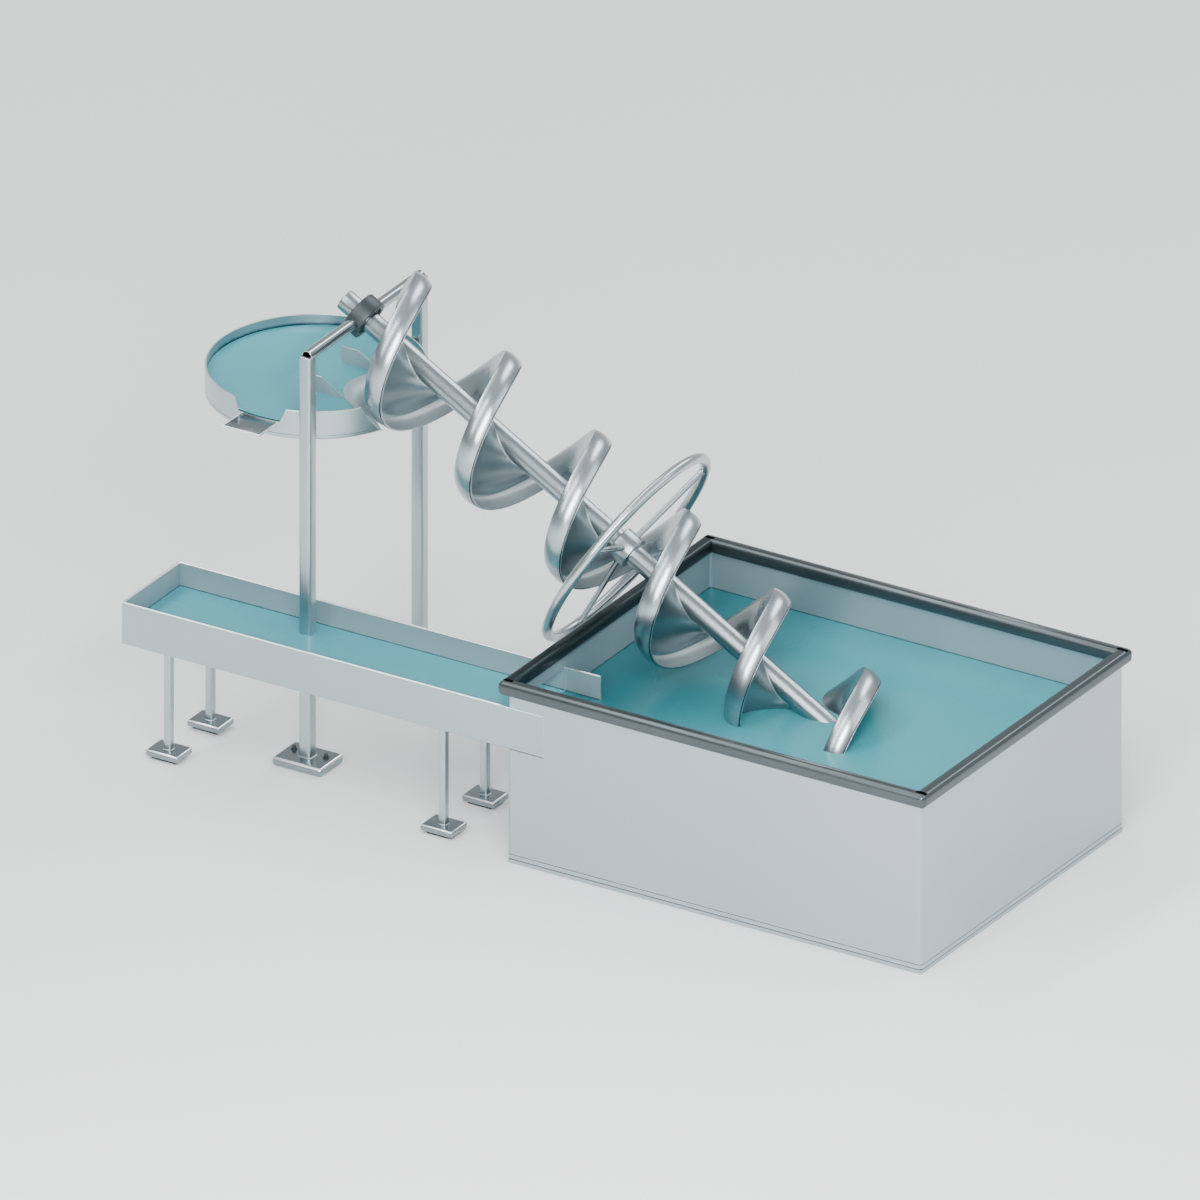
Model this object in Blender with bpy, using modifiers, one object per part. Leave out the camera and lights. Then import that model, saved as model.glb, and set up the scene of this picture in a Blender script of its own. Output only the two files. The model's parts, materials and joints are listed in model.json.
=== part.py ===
"""Archimedes screw pump: an open screw lifts water from a tank to a round basin,
and a trough below the basin's spout leads it back. Metres, +Z up. The origin is
at the bottom centre of the bounding box, with the screw's axis over Y = 0."""

import math

import bmesh
import bpy
from mathutils import Matrix, Vector

# General
GAP = 0.0003
SHEET = 0.004
MERGE = 0.0001

# Tank
TANK_LENGTH = 1.217
TANK_WIDTH = 0.962
TANK_FLOOR = 0.012
TANK_SETBACK = 0.001
TANK_FLOOR_ROUNDING = 0.002
RAIL = 0.0375
RAIL_ROUNDING = 0.0125
RIM_HEIGHT = 0.5065

# Return trough, flush with the tank's front face
TROUGH_REACH = 1.1325
TROUGH_INSIDE = 0.1075
TROUGH_WIDTH = 0.274
TROUGH_BOTTOM = 0.31625
TROUGH_TOP = 0.43175
CUTTER_MARGIN = 0.05
LEG_WIDTH = 0.021
LEG_ROUNDING = 0.0045
LEG_OFFSETS_X = (0.1, 0.9075)
LEG_OFFSETS_Y = (0.0625, 0.260)
FOOT_SIZE = (0.095, 0.0745, 0.018)
FOOT_ROUNDING = 0.004
PAD_SIZE = (0.070, 0.052, 0.008)

# Posts and crossbeam
POST_TO_TANK = 0.719
POST_SPREAD = 0.26625
POST_WIDTH = 0.034
POST_ROUNDING = 0.007
BASE_SIZE = (0.145, 0.110, 0.024)
BASE_ROUNDING = 0.007
BEAM_RADIUS = 0.015
BEAM_BORE = 0.0125
BEAM_BORE_DEPTH = 0.030
BEAM_HALF_LENGTH = 0.271

# Screw
BEARING_HEIGHT = 1.136
SHAFT_TILT = math.radians(30.0)
SHAFT_RADIUS = 0.028
SHAFT_CHAMFER = 0.002
SHAFT_START = -0.066
SHAFT_END = 1.9375
SCREW_RADIUS = 0.176
PITCH = 0.305
FLIGHT_TURNS = 5.8
FLIGHT_NODES = 6
FLIGHT_SHEET = 0.004
FLIGHT_FIRST_ANGLE = math.radians(-38.95)
FLIGHT_FIRST_STATION = 0.0509
LIP_WIDTH = 0.057
LIP_CROWN = 0.0035
LIP_BEND = 0.012
WEB_FOOT_OFFSET = 0.024
WEB_FOOT_RADIUS = 0.0312
STEPS_PER_TURN = 28

# Bearings
BEARING_RADIUS = 0.055
BEARING_LENGTH = 0.043
BEARING_CHAMFER = 0.002
BEARING_CLEARANCE = 0.0006
LOWER_BEARING_STATION = 1.900
STAND_SIZE = (0.032, 0.100)
STAND_DROP = 0.034

# Handwheel
WHEEL_STATION = 0.8915
WHEEL_RADIUS = 0.2925
WHEEL_TUBE = 0.01375
HUB_RADIUS = 0.042
HUB_LENGTH = 0.052
HUB_CHAMFER = 0.003
SPOKE_RADIUS = 0.0075
SPOKE_ANGLES = tuple(math.radians(angle) for angle in (-57.0, -177.0, 63.0))
WHEEL_STEPS = 48

# Upper basin
BASIN_TO_POST = 0.1385
BASIN_BOTTOM = 0.8925
BASIN_FLOOR = 0.010
BASIN_RIM = 0.970
BASIN_STEPS = 64
NOTCH_TOP_WIDTH = 0.152
NOTCH_BOTTOM_WIDTH = 0.122
NOTCH_SILL = 0.935
NOTCH_DEPTH = 0.16
SPOUT_WIDTH = 0.110
SPOUT_REACH = 0.36075
SPOUT_TOP = 0.93125
SPOUT_OVERLAP = 0.03
CRADLE_CLEARANCE = 0.0075
CRADLE_START = 0.05
CRADLE_LENGTH = 0.36
CRADLE_STEPS = 36
CHEEK_SPREAD = 0.0875
CHEEK_SHEET = 0.003
CHEEK_TOP = 0.985
CHEEK_START = 0.1185
CHEEK_LENGTH = 0.200

# Places worked out from the sizes above
POST_CORE = POST_WIDTH / 2 - POST_ROUNDING
BASIN_RADIUS = math.hypot(BASIN_TO_POST - POST_CORE, POST_SPREAD - POST_CORE) - POST_ROUNDING - GAP
BASIN_REACH = POST_TO_TANK + BASIN_TO_POST + BASIN_RADIUS
OVERALL_LENGTH = BASIN_REACH + TANK_LENGTH + RAIL / 2
TANK_LEFT = BASIN_REACH - OVERALL_LENGTH / 2
TANK_RIGHT = TANK_LEFT + TANK_LENGTH
TANK_FRONT = -TANK_WIDTH / 2
RAIL_BOTTOM = RIM_HEIGHT - RAIL
TROUGH_LEFT = TANK_LEFT - TROUGH_REACH
TROUGH_RIGHT = TANK_LEFT + TROUGH_INSIDE
TROUGH_BACK = TANK_FRONT + TROUGH_WIDTH
POST_X = TANK_LEFT - POST_TO_TANK
BASIN_X = POST_X - BASIN_TO_POST
CRADLE_INNER = SCREW_RADIUS + CRADLE_CLEARANCE
CRADLE_OUTER = CRADLE_INNER + SHEET
SHAFT_DIRECTION = Vector((math.cos(SHAFT_TILT), 0.0, -math.sin(SHAFT_TILT)))
SHAFT_NORMAL = Vector((math.sin(SHAFT_TILT), 0.0, math.cos(SHAFT_TILT)))
BEARING_CENTRE = Vector((POST_X, 0.0, BEARING_HEIGHT))
SCREW_MATRIX = Matrix.Translation(BEARING_CENTRE) @ Matrix((
    (SHAFT_NORMAL.x, 0.0, SHAFT_DIRECTION.x, 0.0),
    (0.0, -1.0, 0.0, 0.0),
    (SHAFT_NORMAL.z, 0.0, SHAFT_DIRECTION.z, 0.0),
    (0.0, 0.0, 0.0, 1.0),
))

PALE_STEEL = ((0.56, 0.60, 0.62, 1.0), 0.32)
BRIGHT_STEEL = ((0.62, 0.65, 0.67, 1.0), 0.22)
DARK_STEEL = ((0.20, 0.23, 0.25, 1.0), 0.35)
BEARING_GREY = ((0.12, 0.13, 0.14, 1.0), 0.45)


def clear_scene():
    for item in list(bpy.data.objects):
        bpy.data.objects.remove(item)


def make_collection(name):
    collection = bpy.data.collections.new(name)
    bpy.context.scene.collection.children.link(collection)
    return collection


def make_material(name, finish):
    colour, roughness = finish
    material = bpy.data.materials.new(name)
    material.use_nodes = True
    shader = material.node_tree.nodes["Principled BSDF"]
    shader.inputs["Base Color"].default_value = colour
    shader.inputs["Roughness"].default_value = roughness
    shader.inputs["Metallic"].default_value = 1.0
    return material


def add_part(name, mesh, finish, matrix=None, parent=None):
    mesh.materials.append(make_material(name, finish))
    item = bpy.data.objects.new(name, mesh)
    parts.objects.link(item)
    item.parent = parent
    if matrix is not None:
        item.matrix_local = matrix
    return item


def add_cutter(name, mesh, matrix=None):
    item = bpy.data.objects.new(name, mesh)
    cutters.objects.link(item)
    item.hide_render = True
    item.display_type = "WIRE"
    if matrix is not None:
        item.matrix_local = matrix
    return item


def box_mesh(name, size):
    shape = bmesh.new()
    bmesh.ops.create_cube(shape, size=1.0, matrix=Matrix.Diagonal((*size, 1.0)))
    mesh = bpy.data.meshes.new(name)
    shape.to_mesh(mesh)
    shape.free()
    return mesh


def cylinder_mesh(name, radius, depth, steps):
    shape = bmesh.new()
    bmesh.ops.create_cone(shape, cap_ends=True, segments=steps, radius1=radius, radius2=radius, depth=depth)
    mesh = bpy.data.meshes.new(name)
    shape.to_mesh(mesh)
    shape.free()
    return mesh


def profile_mesh(name, points):
    mesh = bpy.data.meshes.new(name)
    edges = [(index, index + 1) for index in range(len(points) - 1)]
    mesh.from_pydata([(radius, 0.0, height) for radius, height in points], edges, [])
    return mesh


def smooth(item, angle=35.0):
    item.data.shade_smooth()
    item.data.set_sharp_from_angle(angle=math.radians(angle))


def add_bevel(item, width, segments):
    bevel = item.modifiers.new("Rounded edges", "BEVEL")
    bevel.width = width
    bevel.segments = segments
    bevel.limit_method = "ANGLE"
    bevel.angle_limit = math.radians(60.0)
    return bevel


def add_cut(item, cutter, operation="DIFFERENCE"):
    cut = item.modifiers.new("Cut " + cutter.name, "BOOLEAN")
    cut.operation = operation
    cut.solver = "EXACT"
    cut.object = cutter


def add_screw(item, angle, steps, offset=0.0):
    screw = item.modifiers.new("Turn", "SCREW")
    screw.axis = "Z"
    screw.angle = angle
    screw.screw_offset = offset
    screw.steps = steps
    screw.render_steps = steps
    screw.use_merge_vertices = True
    screw.merge_threshold = MERGE
    return screw


def add_thickness(item, thickness, offset):
    solid = item.modifiers.new("Sheet", "SOLIDIFY")
    solid.thickness = thickness
    solid.offset = offset
    solid.use_even_offset = True
    return solid


def span_box(name, low, high, finish, rounding=0.0, segments=2):
    """A box between two opposite corners."""
    size = [high[axis] - low[axis] for axis in range(3)]
    centre = [(high[axis] + low[axis]) / 2 for axis in range(3)]
    item = add_part(name, box_mesh(name, size), finish, Matrix.Translation(centre))
    if rounding:
        add_bevel(item, rounding, segments)
    return item


def bar_mesh(name, size, rounding, segments, axis):
    """A bar whose edges along one axis are rounded, with flat ends."""
    shape = bmesh.new()
    bmesh.ops.create_cube(shape, size=1.0, matrix=Matrix.Diagonal((*size, 1.0)))
    along = []
    for edge in shape.edges:
        span = edge.verts[0].co - edge.verts[1].co
        if abs(span[axis]) > size[axis] / 2:
            along.append(edge)
    bmesh.ops.bevel(shape, geom=along, offset=rounding, segments=segments, profile=0.5, affect="EDGES")
    mesh = bpy.data.meshes.new(name)
    shape.to_mesh(mesh)
    shape.free()
    return mesh


def screw_place(station, angle=0.0):
    """A place on the shaft: its axis is local Z, the top side local X."""
    return Matrix.Translation((0.0, 0.0, station)) @ Matrix.Rotation(angle, 4, "Z")


def post_passage(low, high):
    """Where the front post passes through the trough's floor."""
    width = POST_WIDTH + 2 * GAP
    mesh = bar_mesh("post_passage", (width, width, high - low), POST_ROUNDING + GAP, 3, 2)
    return add_cutter("post_passage", mesh, Matrix.Translation((POST_X, -POST_SPREAD, (low + high) / 2)))


def build_tank():
    front = TANK_FRONT
    back = -TANK_FRONT
    low = TANK_FLOOR + GAP
    high = RAIL_BOTTOM - GAP
    floor_low = (TANK_LEFT + TANK_SETBACK, front + TANK_SETBACK, 0.0)
    floor_high = (TANK_RIGHT - TANK_SETBACK, back - TANK_SETBACK, TANK_FLOOR)
    span_box("tank_floor", floor_low, floor_high, PALE_STEEL, TANK_FLOOR_ROUNDING)
    front_wall = span_box("tank_wall_front", (TANK_LEFT, front, low),
                          (TANK_RIGHT, front + SHEET, high), PALE_STEEL)
    span_box("tank_wall_back", (TANK_LEFT, back - SHEET, low), (TANK_RIGHT, back, high), PALE_STEEL)
    side_front = front + SHEET + GAP
    side_back = back - SHEET - GAP
    left_wall = span_box("tank_wall_left", (TANK_LEFT, side_front, low),
                         (TANK_LEFT + SHEET, side_back, high), PALE_STEEL)
    span_box("tank_wall_right", (TANK_RIGHT - SHEET, side_front, low),
             (TANK_RIGHT, side_back, high), PALE_STEEL)
    opening_size = (TROUGH_INSIDE + 2 * GAP, TROUGH_WIDTH + 2 * GAP, TROUGH_TOP - TROUGH_BOTTOM + 2 * GAP)
    opening = add_cutter("trough_opening", box_mesh("trough_opening", opening_size), Matrix.Translation((
        TANK_LEFT + TROUGH_INSIDE / 2, front + TROUGH_WIDTH / 2, (TROUGH_TOP + TROUGH_BOTTOM) / 2)))
    add_cut(front_wall, opening)
    add_cut(left_wall, opening)


def build_rails():
    """The long rails run through to the corners, and the side rails stand between them."""
    middle_x = (TANK_LEFT + TANK_RIGHT) / 2
    middle_z = RAIL_BOTTOM + RAIL / 2
    for side, name in ((-1, "rim_rail_front"), (1, "rim_rail_back")):
        place = Matrix.Translation((middle_x, side * TANK_WIDTH / 2, middle_z))
        rail = add_part(name, box_mesh(name, (TANK_LENGTH + RAIL, RAIL, RAIL)), DARK_STEEL, place)
        add_bevel(rail, RAIL_ROUNDING, 4)
        smooth(rail, 40.0)
    side_length = TANK_WIDTH - RAIL - 2 * GAP
    for end, name in ((TANK_LEFT, "rim_rail_left"), (TANK_RIGHT, "rim_rail_right")):
        mesh = bar_mesh(name, (RAIL, side_length, RAIL), RAIL_ROUNDING, 4, 1)
        rail = add_part(name, mesh, DARK_STEEL, Matrix.Translation((end, 0.0, middle_z)))
        smooth(rail, 40.0)


def build_trough():
    front = TANK_FRONT
    back = TROUGH_BACK
    low = TROUGH_BOTTOM
    high = TROUGH_TOP
    inner_front = front + SHEET + GAP
    inner_back = back - SHEET - GAP
    span_box("trough_side_front", (TROUGH_LEFT, front, low), (TROUGH_RIGHT, front + SHEET, high), PALE_STEEL)
    span_box("trough_side_back", (TROUGH_LEFT, back - SHEET, low), (TROUGH_RIGHT, back, high), PALE_STEEL)
    floor = span_box("trough_floor", (TROUGH_LEFT, inner_front, low),
                     (TROUGH_RIGHT, inner_back, low + SHEET), PALE_STEEL)
    span_box("trough_end", (TROUGH_LEFT, inner_front, low + SHEET + GAP),
             (TROUGH_LEFT + SHEET, inner_back, high), PALE_STEEL)
    add_cut(floor, post_passage(low - CUTTER_MARGIN, high))


def build_trough_legs():
    for x_name, offset_x in zip(("left", "right"), LEG_OFFSETS_X):
        for y_name, offset_y in zip(("front", "back"), LEG_OFFSETS_Y):
            build_leg("trough_leg_" + y_name + "_" + x_name, TROUGH_LEFT + offset_x, TANK_FRONT + offset_y)


def build_leg(name, x, y):
    """A square tube welded to a foot plate, which stands on a smaller pad."""
    plate_middle = PAD_SIZE[2] + FOOT_SIZE[2] / 2
    high = TROUGH_BOTTOM - GAP
    mesh = bar_mesh(name, (LEG_WIDTH, LEG_WIDTH, high - plate_middle), LEG_ROUNDING, 3, 2)
    leg = add_part(name, mesh, PALE_STEEL, Matrix.Translation((x, y, (plate_middle + high) / 2)))
    plate_mesh = box_mesh(name + "_plate", FOOT_SIZE)
    plate = add_cutter(name + "_plate", plate_mesh, Matrix.Translation((x, y, plate_middle)))
    add_bevel(plate, FOOT_ROUNDING, 3)
    pad_mesh = box_mesh(name + "_pad", (PAD_SIZE[0], PAD_SIZE[1], plate_middle))
    pad = add_cutter(name + "_pad", pad_mesh, Matrix.Translation((x, y, plate_middle / 2)))
    add_cut(leg, plate, "UNION")
    add_cut(leg, pad, "UNION")
    smooth(leg, 40.0)


def build_posts():
    low = BASE_SIZE[2] + GAP
    high = BEARING_HEIGHT
    for side, name in ((-1, "front"), (1, "back")):
        y = side * POST_SPREAD
        base_mesh = box_mesh("post_base_" + name, BASE_SIZE)
        base_place = Matrix.Translation((POST_X, y, BASE_SIZE[2] / 2))
        base = add_part("post_base_" + name, base_mesh, BRIGHT_STEEL, base_place)
        add_bevel(base, BASE_ROUNDING, 3)
        smooth(base, 40.0)
        mesh = bar_mesh("post_" + name, (POST_WIDTH, POST_WIDTH, high - low), POST_ROUNDING, 3, 2)
        post = add_part("post_" + name, mesh, PALE_STEEL, Matrix.Translation((POST_X, y, (low + high) / 2)))
        build_beam(name, side)
        add_cut(post, cutters.objects["beam_seat_" + name])
        smooth(post, 40.0)


def build_beam(name, side):
    """Half of the crossbeam, from the bearing to its open end in the post's top."""
    inner = BEARING_RADIUS / 2
    length = BEAM_HALF_LENGTH - inner
    profile = (
        (0.0, length - BEAM_BORE_DEPTH),
        (BEAM_BORE, length - BEAM_BORE_DEPTH),
        (BEAM_BORE, length),
        (BEAM_RADIUS, length),
        (BEAM_RADIUS, 0.0),
        (0.0, 0.0),
    )
    lie_down = Matrix.Rotation(math.radians(-90.0 * side), 4, "X")
    place = Matrix.Translation((POST_X, side * inner, BEARING_HEIGHT)) @ lie_down
    beam = add_part("crossbeam_" + name, profile_mesh("crossbeam_" + name, profile), BRIGHT_STEEL, place)
    add_screw(beam, math.tau, 24)
    add_cut(beam, cutters.objects["upper_bearing_cutter"])
    smooth(beam, 40.0)
    seat = cylinder_mesh("beam_seat_" + name, BEAM_RADIUS + GAP, 2 * POST_WIDTH, 24)
    seat_y = side * (BEAM_HALF_LENGTH + GAP - POST_WIDTH)
    lie_flat = Matrix.Rotation(math.radians(-90.0), 4, "X")
    add_cutter("beam_seat_" + name, seat, Matrix.Translation((POST_X, seat_y, BEARING_HEIGHT)) @ lie_flat)


def build_bearing(name, station, finish):
    bore = SHAFT_RADIUS + BEARING_CLEARANCE
    half = BEARING_LENGTH / 2
    profile = (
        (bore, half),
        (BEARING_RADIUS - BEARING_CHAMFER, half),
        (BEARING_RADIUS, half - BEARING_CHAMFER),
        (BEARING_RADIUS, BEARING_CHAMFER - half),
        (BEARING_RADIUS - BEARING_CHAMFER, -half),
        (bore, -half),
        (bore, half),
    )
    place = SCREW_MATRIX @ screw_place(station)
    bearing = add_part(name, profile_mesh(name, profile), finish, place)
    add_screw(bearing, math.tau, 40)
    weld_seam(bearing)
    smooth(bearing, 40.0)
    grown = cylinder_mesh(name + "_cutter", BEARING_RADIUS + GAP, BEARING_LENGTH + 2 * GAP, 40)
    add_cutter(name + "_cutter", grown, place)


def weld_seam(item):
    weld = item.modifiers.new("Close profile", "WELD")
    weld.merge_threshold = MERGE


def build_lower_stand():
    """A block on the tank's floor under the housing's lowest line, with a saddle for it."""
    centre = SCREW_MATRIX @ Vector((0.0, 0.0, LOWER_BEARING_STATION))
    middle_x = centre.x - BEARING_RADIUS * SHAFT_NORMAL.x
    half_x = STAND_SIZE[0] / 2
    half_y = STAND_SIZE[1] / 2
    stand = span_box("lower_bearing_stand", (middle_x - half_x, -half_y, TANK_FLOOR + GAP),
                     (middle_x + half_x, half_y, centre.z - STAND_DROP), DARK_STEEL)
    add_cut(stand, cutters.objects["lower_bearing_cutter"])


def flight_section():
    """The flight's sheet from the shaft to its free edge, as radius and station.
    The web leans up the shaft, and a bend carries it into the outer lip."""
    half = LIP_WIDTH / 2
    edge_radius = SCREW_RADIUS - LIP_CROWN
    bend_centre = Vector((edge_radius - LIP_BEND, LIP_BEND - half))
    foot = Vector((WEB_FOOT_RADIUS, WEB_FOOT_OFFSET))
    web_end = bend_centre + Vector((0.0, -LIP_BEND))
    points = [foot, foot.lerp(web_end, 0.5), web_end]
    for step in (1, 2):
        angle = math.radians(90.0 * step / 3)
        points.append(bend_centre + LIP_BEND * Vector((math.sin(angle), -math.cos(angle))))
    lip_start = LIP_BEND - half
    for step in range(4):
        station = lip_start + (half - lip_start) * step / 3
        crown = LIP_CROWN * (1.0 - (station / half) ** 2)
        points.append(Vector((edge_radius + crown - FLIGHT_SHEET / 2, station)))
    return [tuple(point) for point in points]


def build_flight():
    seam = GAP / WEB_FOOT_RADIUS / 2
    for index in range(FLIGHT_NODES):
        share = min(1.0, FLIGHT_TURNS - index)
        angle = math.tau * share - 2 * seam
        start = FLIGHT_FIRST_ANGLE + seam
        station = FLIGHT_FIRST_STATION + PITCH * (index + seam / math.tau)
        name = "flight_turn_%d" % (index + 1)
        mesh = profile_mesh(name, flight_section())
        flight = add_part(name, mesh, BRIGHT_STEEL, screw_place(station, start), axis)
        add_screw(flight, angle, round(STEPS_PER_TURN * share), PITCH * angle / math.tau)
        add_thickness(flight, FLIGHT_SHEET, 0.0)
        if station < WHEEL_STATION < station + PITCH:
            add_cut(flight, cutters.objects["wheel_hub_cutter"])
        smooth(flight, 50.0)


def build_shaft():
    middle = (SHAFT_START + SHAFT_END) / 2
    mesh = cylinder_mesh("screw_shaft", SHAFT_RADIUS, SHAFT_END - SHAFT_START, 40)
    shaft = add_part("screw_shaft", mesh, BRIGHT_STEEL, screw_place(middle), axis)
    add_bevel(shaft, SHAFT_CHAMFER, 1)
    smooth(shaft, 40.0)


def build_handwheel():
    bore = SHAFT_RADIUS + GAP
    half = HUB_LENGTH / 2
    profile = (
        (bore, half),
        (HUB_RADIUS - HUB_CHAMFER, half),
        (HUB_RADIUS, half - HUB_CHAMFER),
        (HUB_RADIUS, HUB_CHAMFER - half),
        (HUB_RADIUS - HUB_CHAMFER, -half),
        (bore, -half),
        (bore, half),
    )
    mesh = profile_mesh("wheel_hub_and_spokes", profile)
    hub = add_part("wheel_hub_and_spokes", mesh, BRIGHT_STEEL, screw_place(WHEEL_STATION), axis)
    add_screw(hub, math.tau, 40)
    weld_seam(hub)
    smooth(hub, 40.0)
    grown = cylinder_mesh("wheel_hub_cutter", HUB_RADIUS + GAP, HUB_LENGTH + 2 * GAP, 40)
    add_cutter("wheel_hub_cutter", grown, SCREW_MATRIX @ screw_place(WHEEL_STATION))

    circle = bpy.data.curves.new("wheel_rim", "CURVE")
    circle.dimensions = "3D"
    circle.bevel_depth = WHEEL_TUBE
    circle.bevel_resolution = 4
    ring = circle.splines.new("POLY")
    ring.points.add(WHEEL_STEPS - 1)
    for index, point in enumerate(ring.points):
        angle = math.tau * index / WHEEL_STEPS
        point.co = (WHEEL_RADIUS * math.cos(angle), WHEEL_RADIUS * math.sin(angle), 0.0, 1.0)
    ring.use_cyclic_u = True
    add_part("wheel_rim", circle, BRIGHT_STEEL, screw_place(WHEEL_STATION), axis)

    spoke_start = HUB_RADIUS - SPOKE_RADIUS
    spoke_end = (WHEEL_RADIUS - WHEEL_TUBE) * math.cos(math.pi / WHEEL_STEPS) - GAP
    spoke_mesh = cylinder_mesh("wheel_spoke", SPOKE_RADIUS, spoke_end - spoke_start, 16)
    lie_outward = Matrix.Rotation(math.radians(90.0), 4, "Y")
    outward = Matrix.Translation(((spoke_start + spoke_end) / 2, 0.0, 0.0)) @ lie_outward
    for angle in SPOKE_ANGLES:
        place = SCREW_MATRIX @ screw_place(WHEEL_STATION, angle) @ outward
        add_cut(hub, add_cutter("wheel_spoke", spoke_mesh, place), "UNION")


def build_basin():
    middle_z = (BASIN_BOTTOM + BASIN_RIM) / 2
    passage = cylinder_mesh("screw_passage", CRADLE_OUTER + GAP, 2 * CRADLE_LENGTH, 2 * CRADLE_STEPS)
    add_cutter("screw_passage", passage, SCREW_MATRIX @ screw_place(CRADLE_LENGTH - 2 * CRADLE_START))
    outside = cylinder_mesh("basin_outside", BASIN_RADIUS + GAP, 2 * BASIN_RADIUS, BASIN_STEPS)
    add_cutter("basin_outside", outside, Matrix.Translation((BASIN_X, 0.0, BASIN_RIM)))
    body = cylinder_mesh("basin_body", BASIN_RADIUS, BASIN_RIM - BASIN_BOTTOM, BASIN_STEPS)
    add_cutter("basin_body", body, Matrix.Translation((BASIN_X, 0.0, middle_z)))

    floor_mesh = cylinder_mesh("basin_floor", BASIN_RADIUS, BASIN_FLOOR, BASIN_STEPS)
    floor_place = Matrix.Translation((BASIN_X, 0.0, BASIN_BOTTOM + BASIN_FLOOR / 2))
    floor = add_part("basin_floor", floor_mesh, PALE_STEEL, floor_place)
    add_cut(floor, cutters.objects["screw_passage"])
    build_basin_walls()
    build_spout()
    build_cradle()
    build_cheeks()


def build_basin_walls():
    low = BASIN_BOTTOM + BASIN_FLOOR + GAP
    seam = GAP / BASIN_RADIUS
    arcs = (
        ("basin_wall_back", 0.0, 135.0),
        ("basin_wall_left", 135.0, 225.0),
        ("basin_wall_front", 225.0, 360.0),
    )
    notch = build_notch()
    for name, start, end in arcs:
        place = Matrix.Translation((BASIN_X, 0.0, 0.0)) @ Matrix.Rotation(math.radians(start) + seam, 4, "Z")
        profile = ((BASIN_RADIUS, BASIN_RIM), (BASIN_RADIUS, low))
        wall = add_part(name, profile_mesh(name, profile), PALE_STEEL, place)
        add_screw(wall, math.radians(end - start) - 2 * seam, round(BASIN_STEPS * (end - start) / 360.0))
        add_thickness(wall, SHEET, -1.0)
        if name != "basin_wall_left":
            add_cut(wall, cutters.objects["screw_passage"])
        if name == "basin_wall_front":
            add_cut(wall, notch)
        smooth(wall, 40.0)


def build_notch():
    """The spout's opening: wider at the rim than at its sill."""
    reach = BASIN_RIM - NOTCH_SILL
    taper = (NOTCH_TOP_WIDTH - NOTCH_BOTTOM_WIDTH) / 2 / reach
    top_width = NOTCH_TOP_WIDTH + 2 * taper * reach
    outline = bpy.data.curves.new("spout_notch_outline", "CURVE")
    outline.dimensions = "2D"
    outline.fill_mode = "BOTH"
    outline.extrude = NOTCH_DEPTH / 2
    line = outline.splines.new("POLY")
    corners = (
        (-NOTCH_BOTTOM_WIDTH / 2, 0.0),
        (NOTCH_BOTTOM_WIDTH / 2, 0.0),
        (top_width / 2, 2 * reach),
        (-top_width / 2, 2 * reach),
    )
    line.points.add(len(corners) - 1)
    for point, corner in zip(line.points, corners):
        point.co = (corner[0], corner[1], 0.0, 1.0)
    line.use_cyclic_u = True
    stand_up = Matrix.Rotation(math.radians(90.0), 4, "X")
    place = Matrix.Translation((BASIN_X, -BASIN_RADIUS, NOTCH_SILL)) @ stand_up
    guide = add_cutter("spout_notch_outline", outline, place)
    bpy.context.view_layer.update()
    evaluated = guide.evaluated_get(bpy.context.evaluated_depsgraph_get())
    mesh = bpy.data.meshes.new_from_object(evaluated)
    shape = bmesh.new()
    shape.from_mesh(mesh)
    bmesh.ops.remove_doubles(shape, verts=shape.verts, dist=MERGE)
    shape.to_mesh(mesh)
    shape.free()
    matrix = guide.matrix_world.copy()
    bpy.data.objects.remove(guide)
    return add_cutter("spout_notch", mesh, matrix)


def build_spout():
    low = (BASIN_X - SPOUT_WIDTH / 2, -SPOUT_REACH, SPOUT_TOP - SHEET)
    high = (BASIN_X + SPOUT_WIDTH / 2, -BASIN_RADIUS + SPOUT_OVERLAP, SPOUT_TOP)
    spout = span_box("spout_lip", low, high, BRIGHT_STEEL)
    add_cut(spout, cutters.objects["basin_outside"])


def build_cradle():
    """A half pipe under the top of the screw, trimmed to the basin's outline."""
    profile = ((CRADLE_OUTER, CRADLE_LENGTH), (CRADLE_OUTER, -CRADLE_START))
    place = SCREW_MATRIX @ screw_place(0.0, math.radians(90.0))
    cradle = add_part("screw_cradle", profile_mesh("screw_cradle", profile), PALE_STEEL, place)
    add_screw(cradle, math.pi, CRADLE_STEPS)
    add_thickness(cradle, SHEET, -1.0)
    add_cut(cradle, cutters.objects["basin_body"], "INTERSECT")
    smooth(cradle, 40.0)


def build_cheeks():
    low_z = BASIN_BOTTOM + BASIN_FLOOR + GAP
    start = POST_X - CHEEK_START
    for side, name in ((-1, "cheek_front"), (1, "cheek_back")):
        middle = side * CHEEK_SPREAD
        cheek = span_box(name, (start, middle - CHEEK_SHEET / 2, low_z),
                         (start + CHEEK_LENGTH, middle + CHEEK_SHEET / 2, CHEEK_TOP), PALE_STEEL)
        add_cut(cheek, cutters.objects["screw_passage"])


clear_scene()
parts = make_collection("archimedes_screw_pump")
cutters = make_collection("cutters")
axis = bpy.data.objects.new("screw_axis", None)
parts.objects.link(axis)
axis.matrix_world = SCREW_MATRIX

build_tank()
build_rails()
build_trough()
build_trough_legs()
build_bearing("upper_bearing", 0.0, BEARING_GREY)
build_bearing("lower_bearing", LOWER_BEARING_STATION, BEARING_GREY)
build_posts()
build_lower_stand()
build_shaft()
build_handwheel()
build_flight()
build_basin()
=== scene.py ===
# Archimedes screw pump: the looks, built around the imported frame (metres, +Z up)
import json
import math

import bmesh
import bpy
from mathutils import Matrix, Vector


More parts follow.
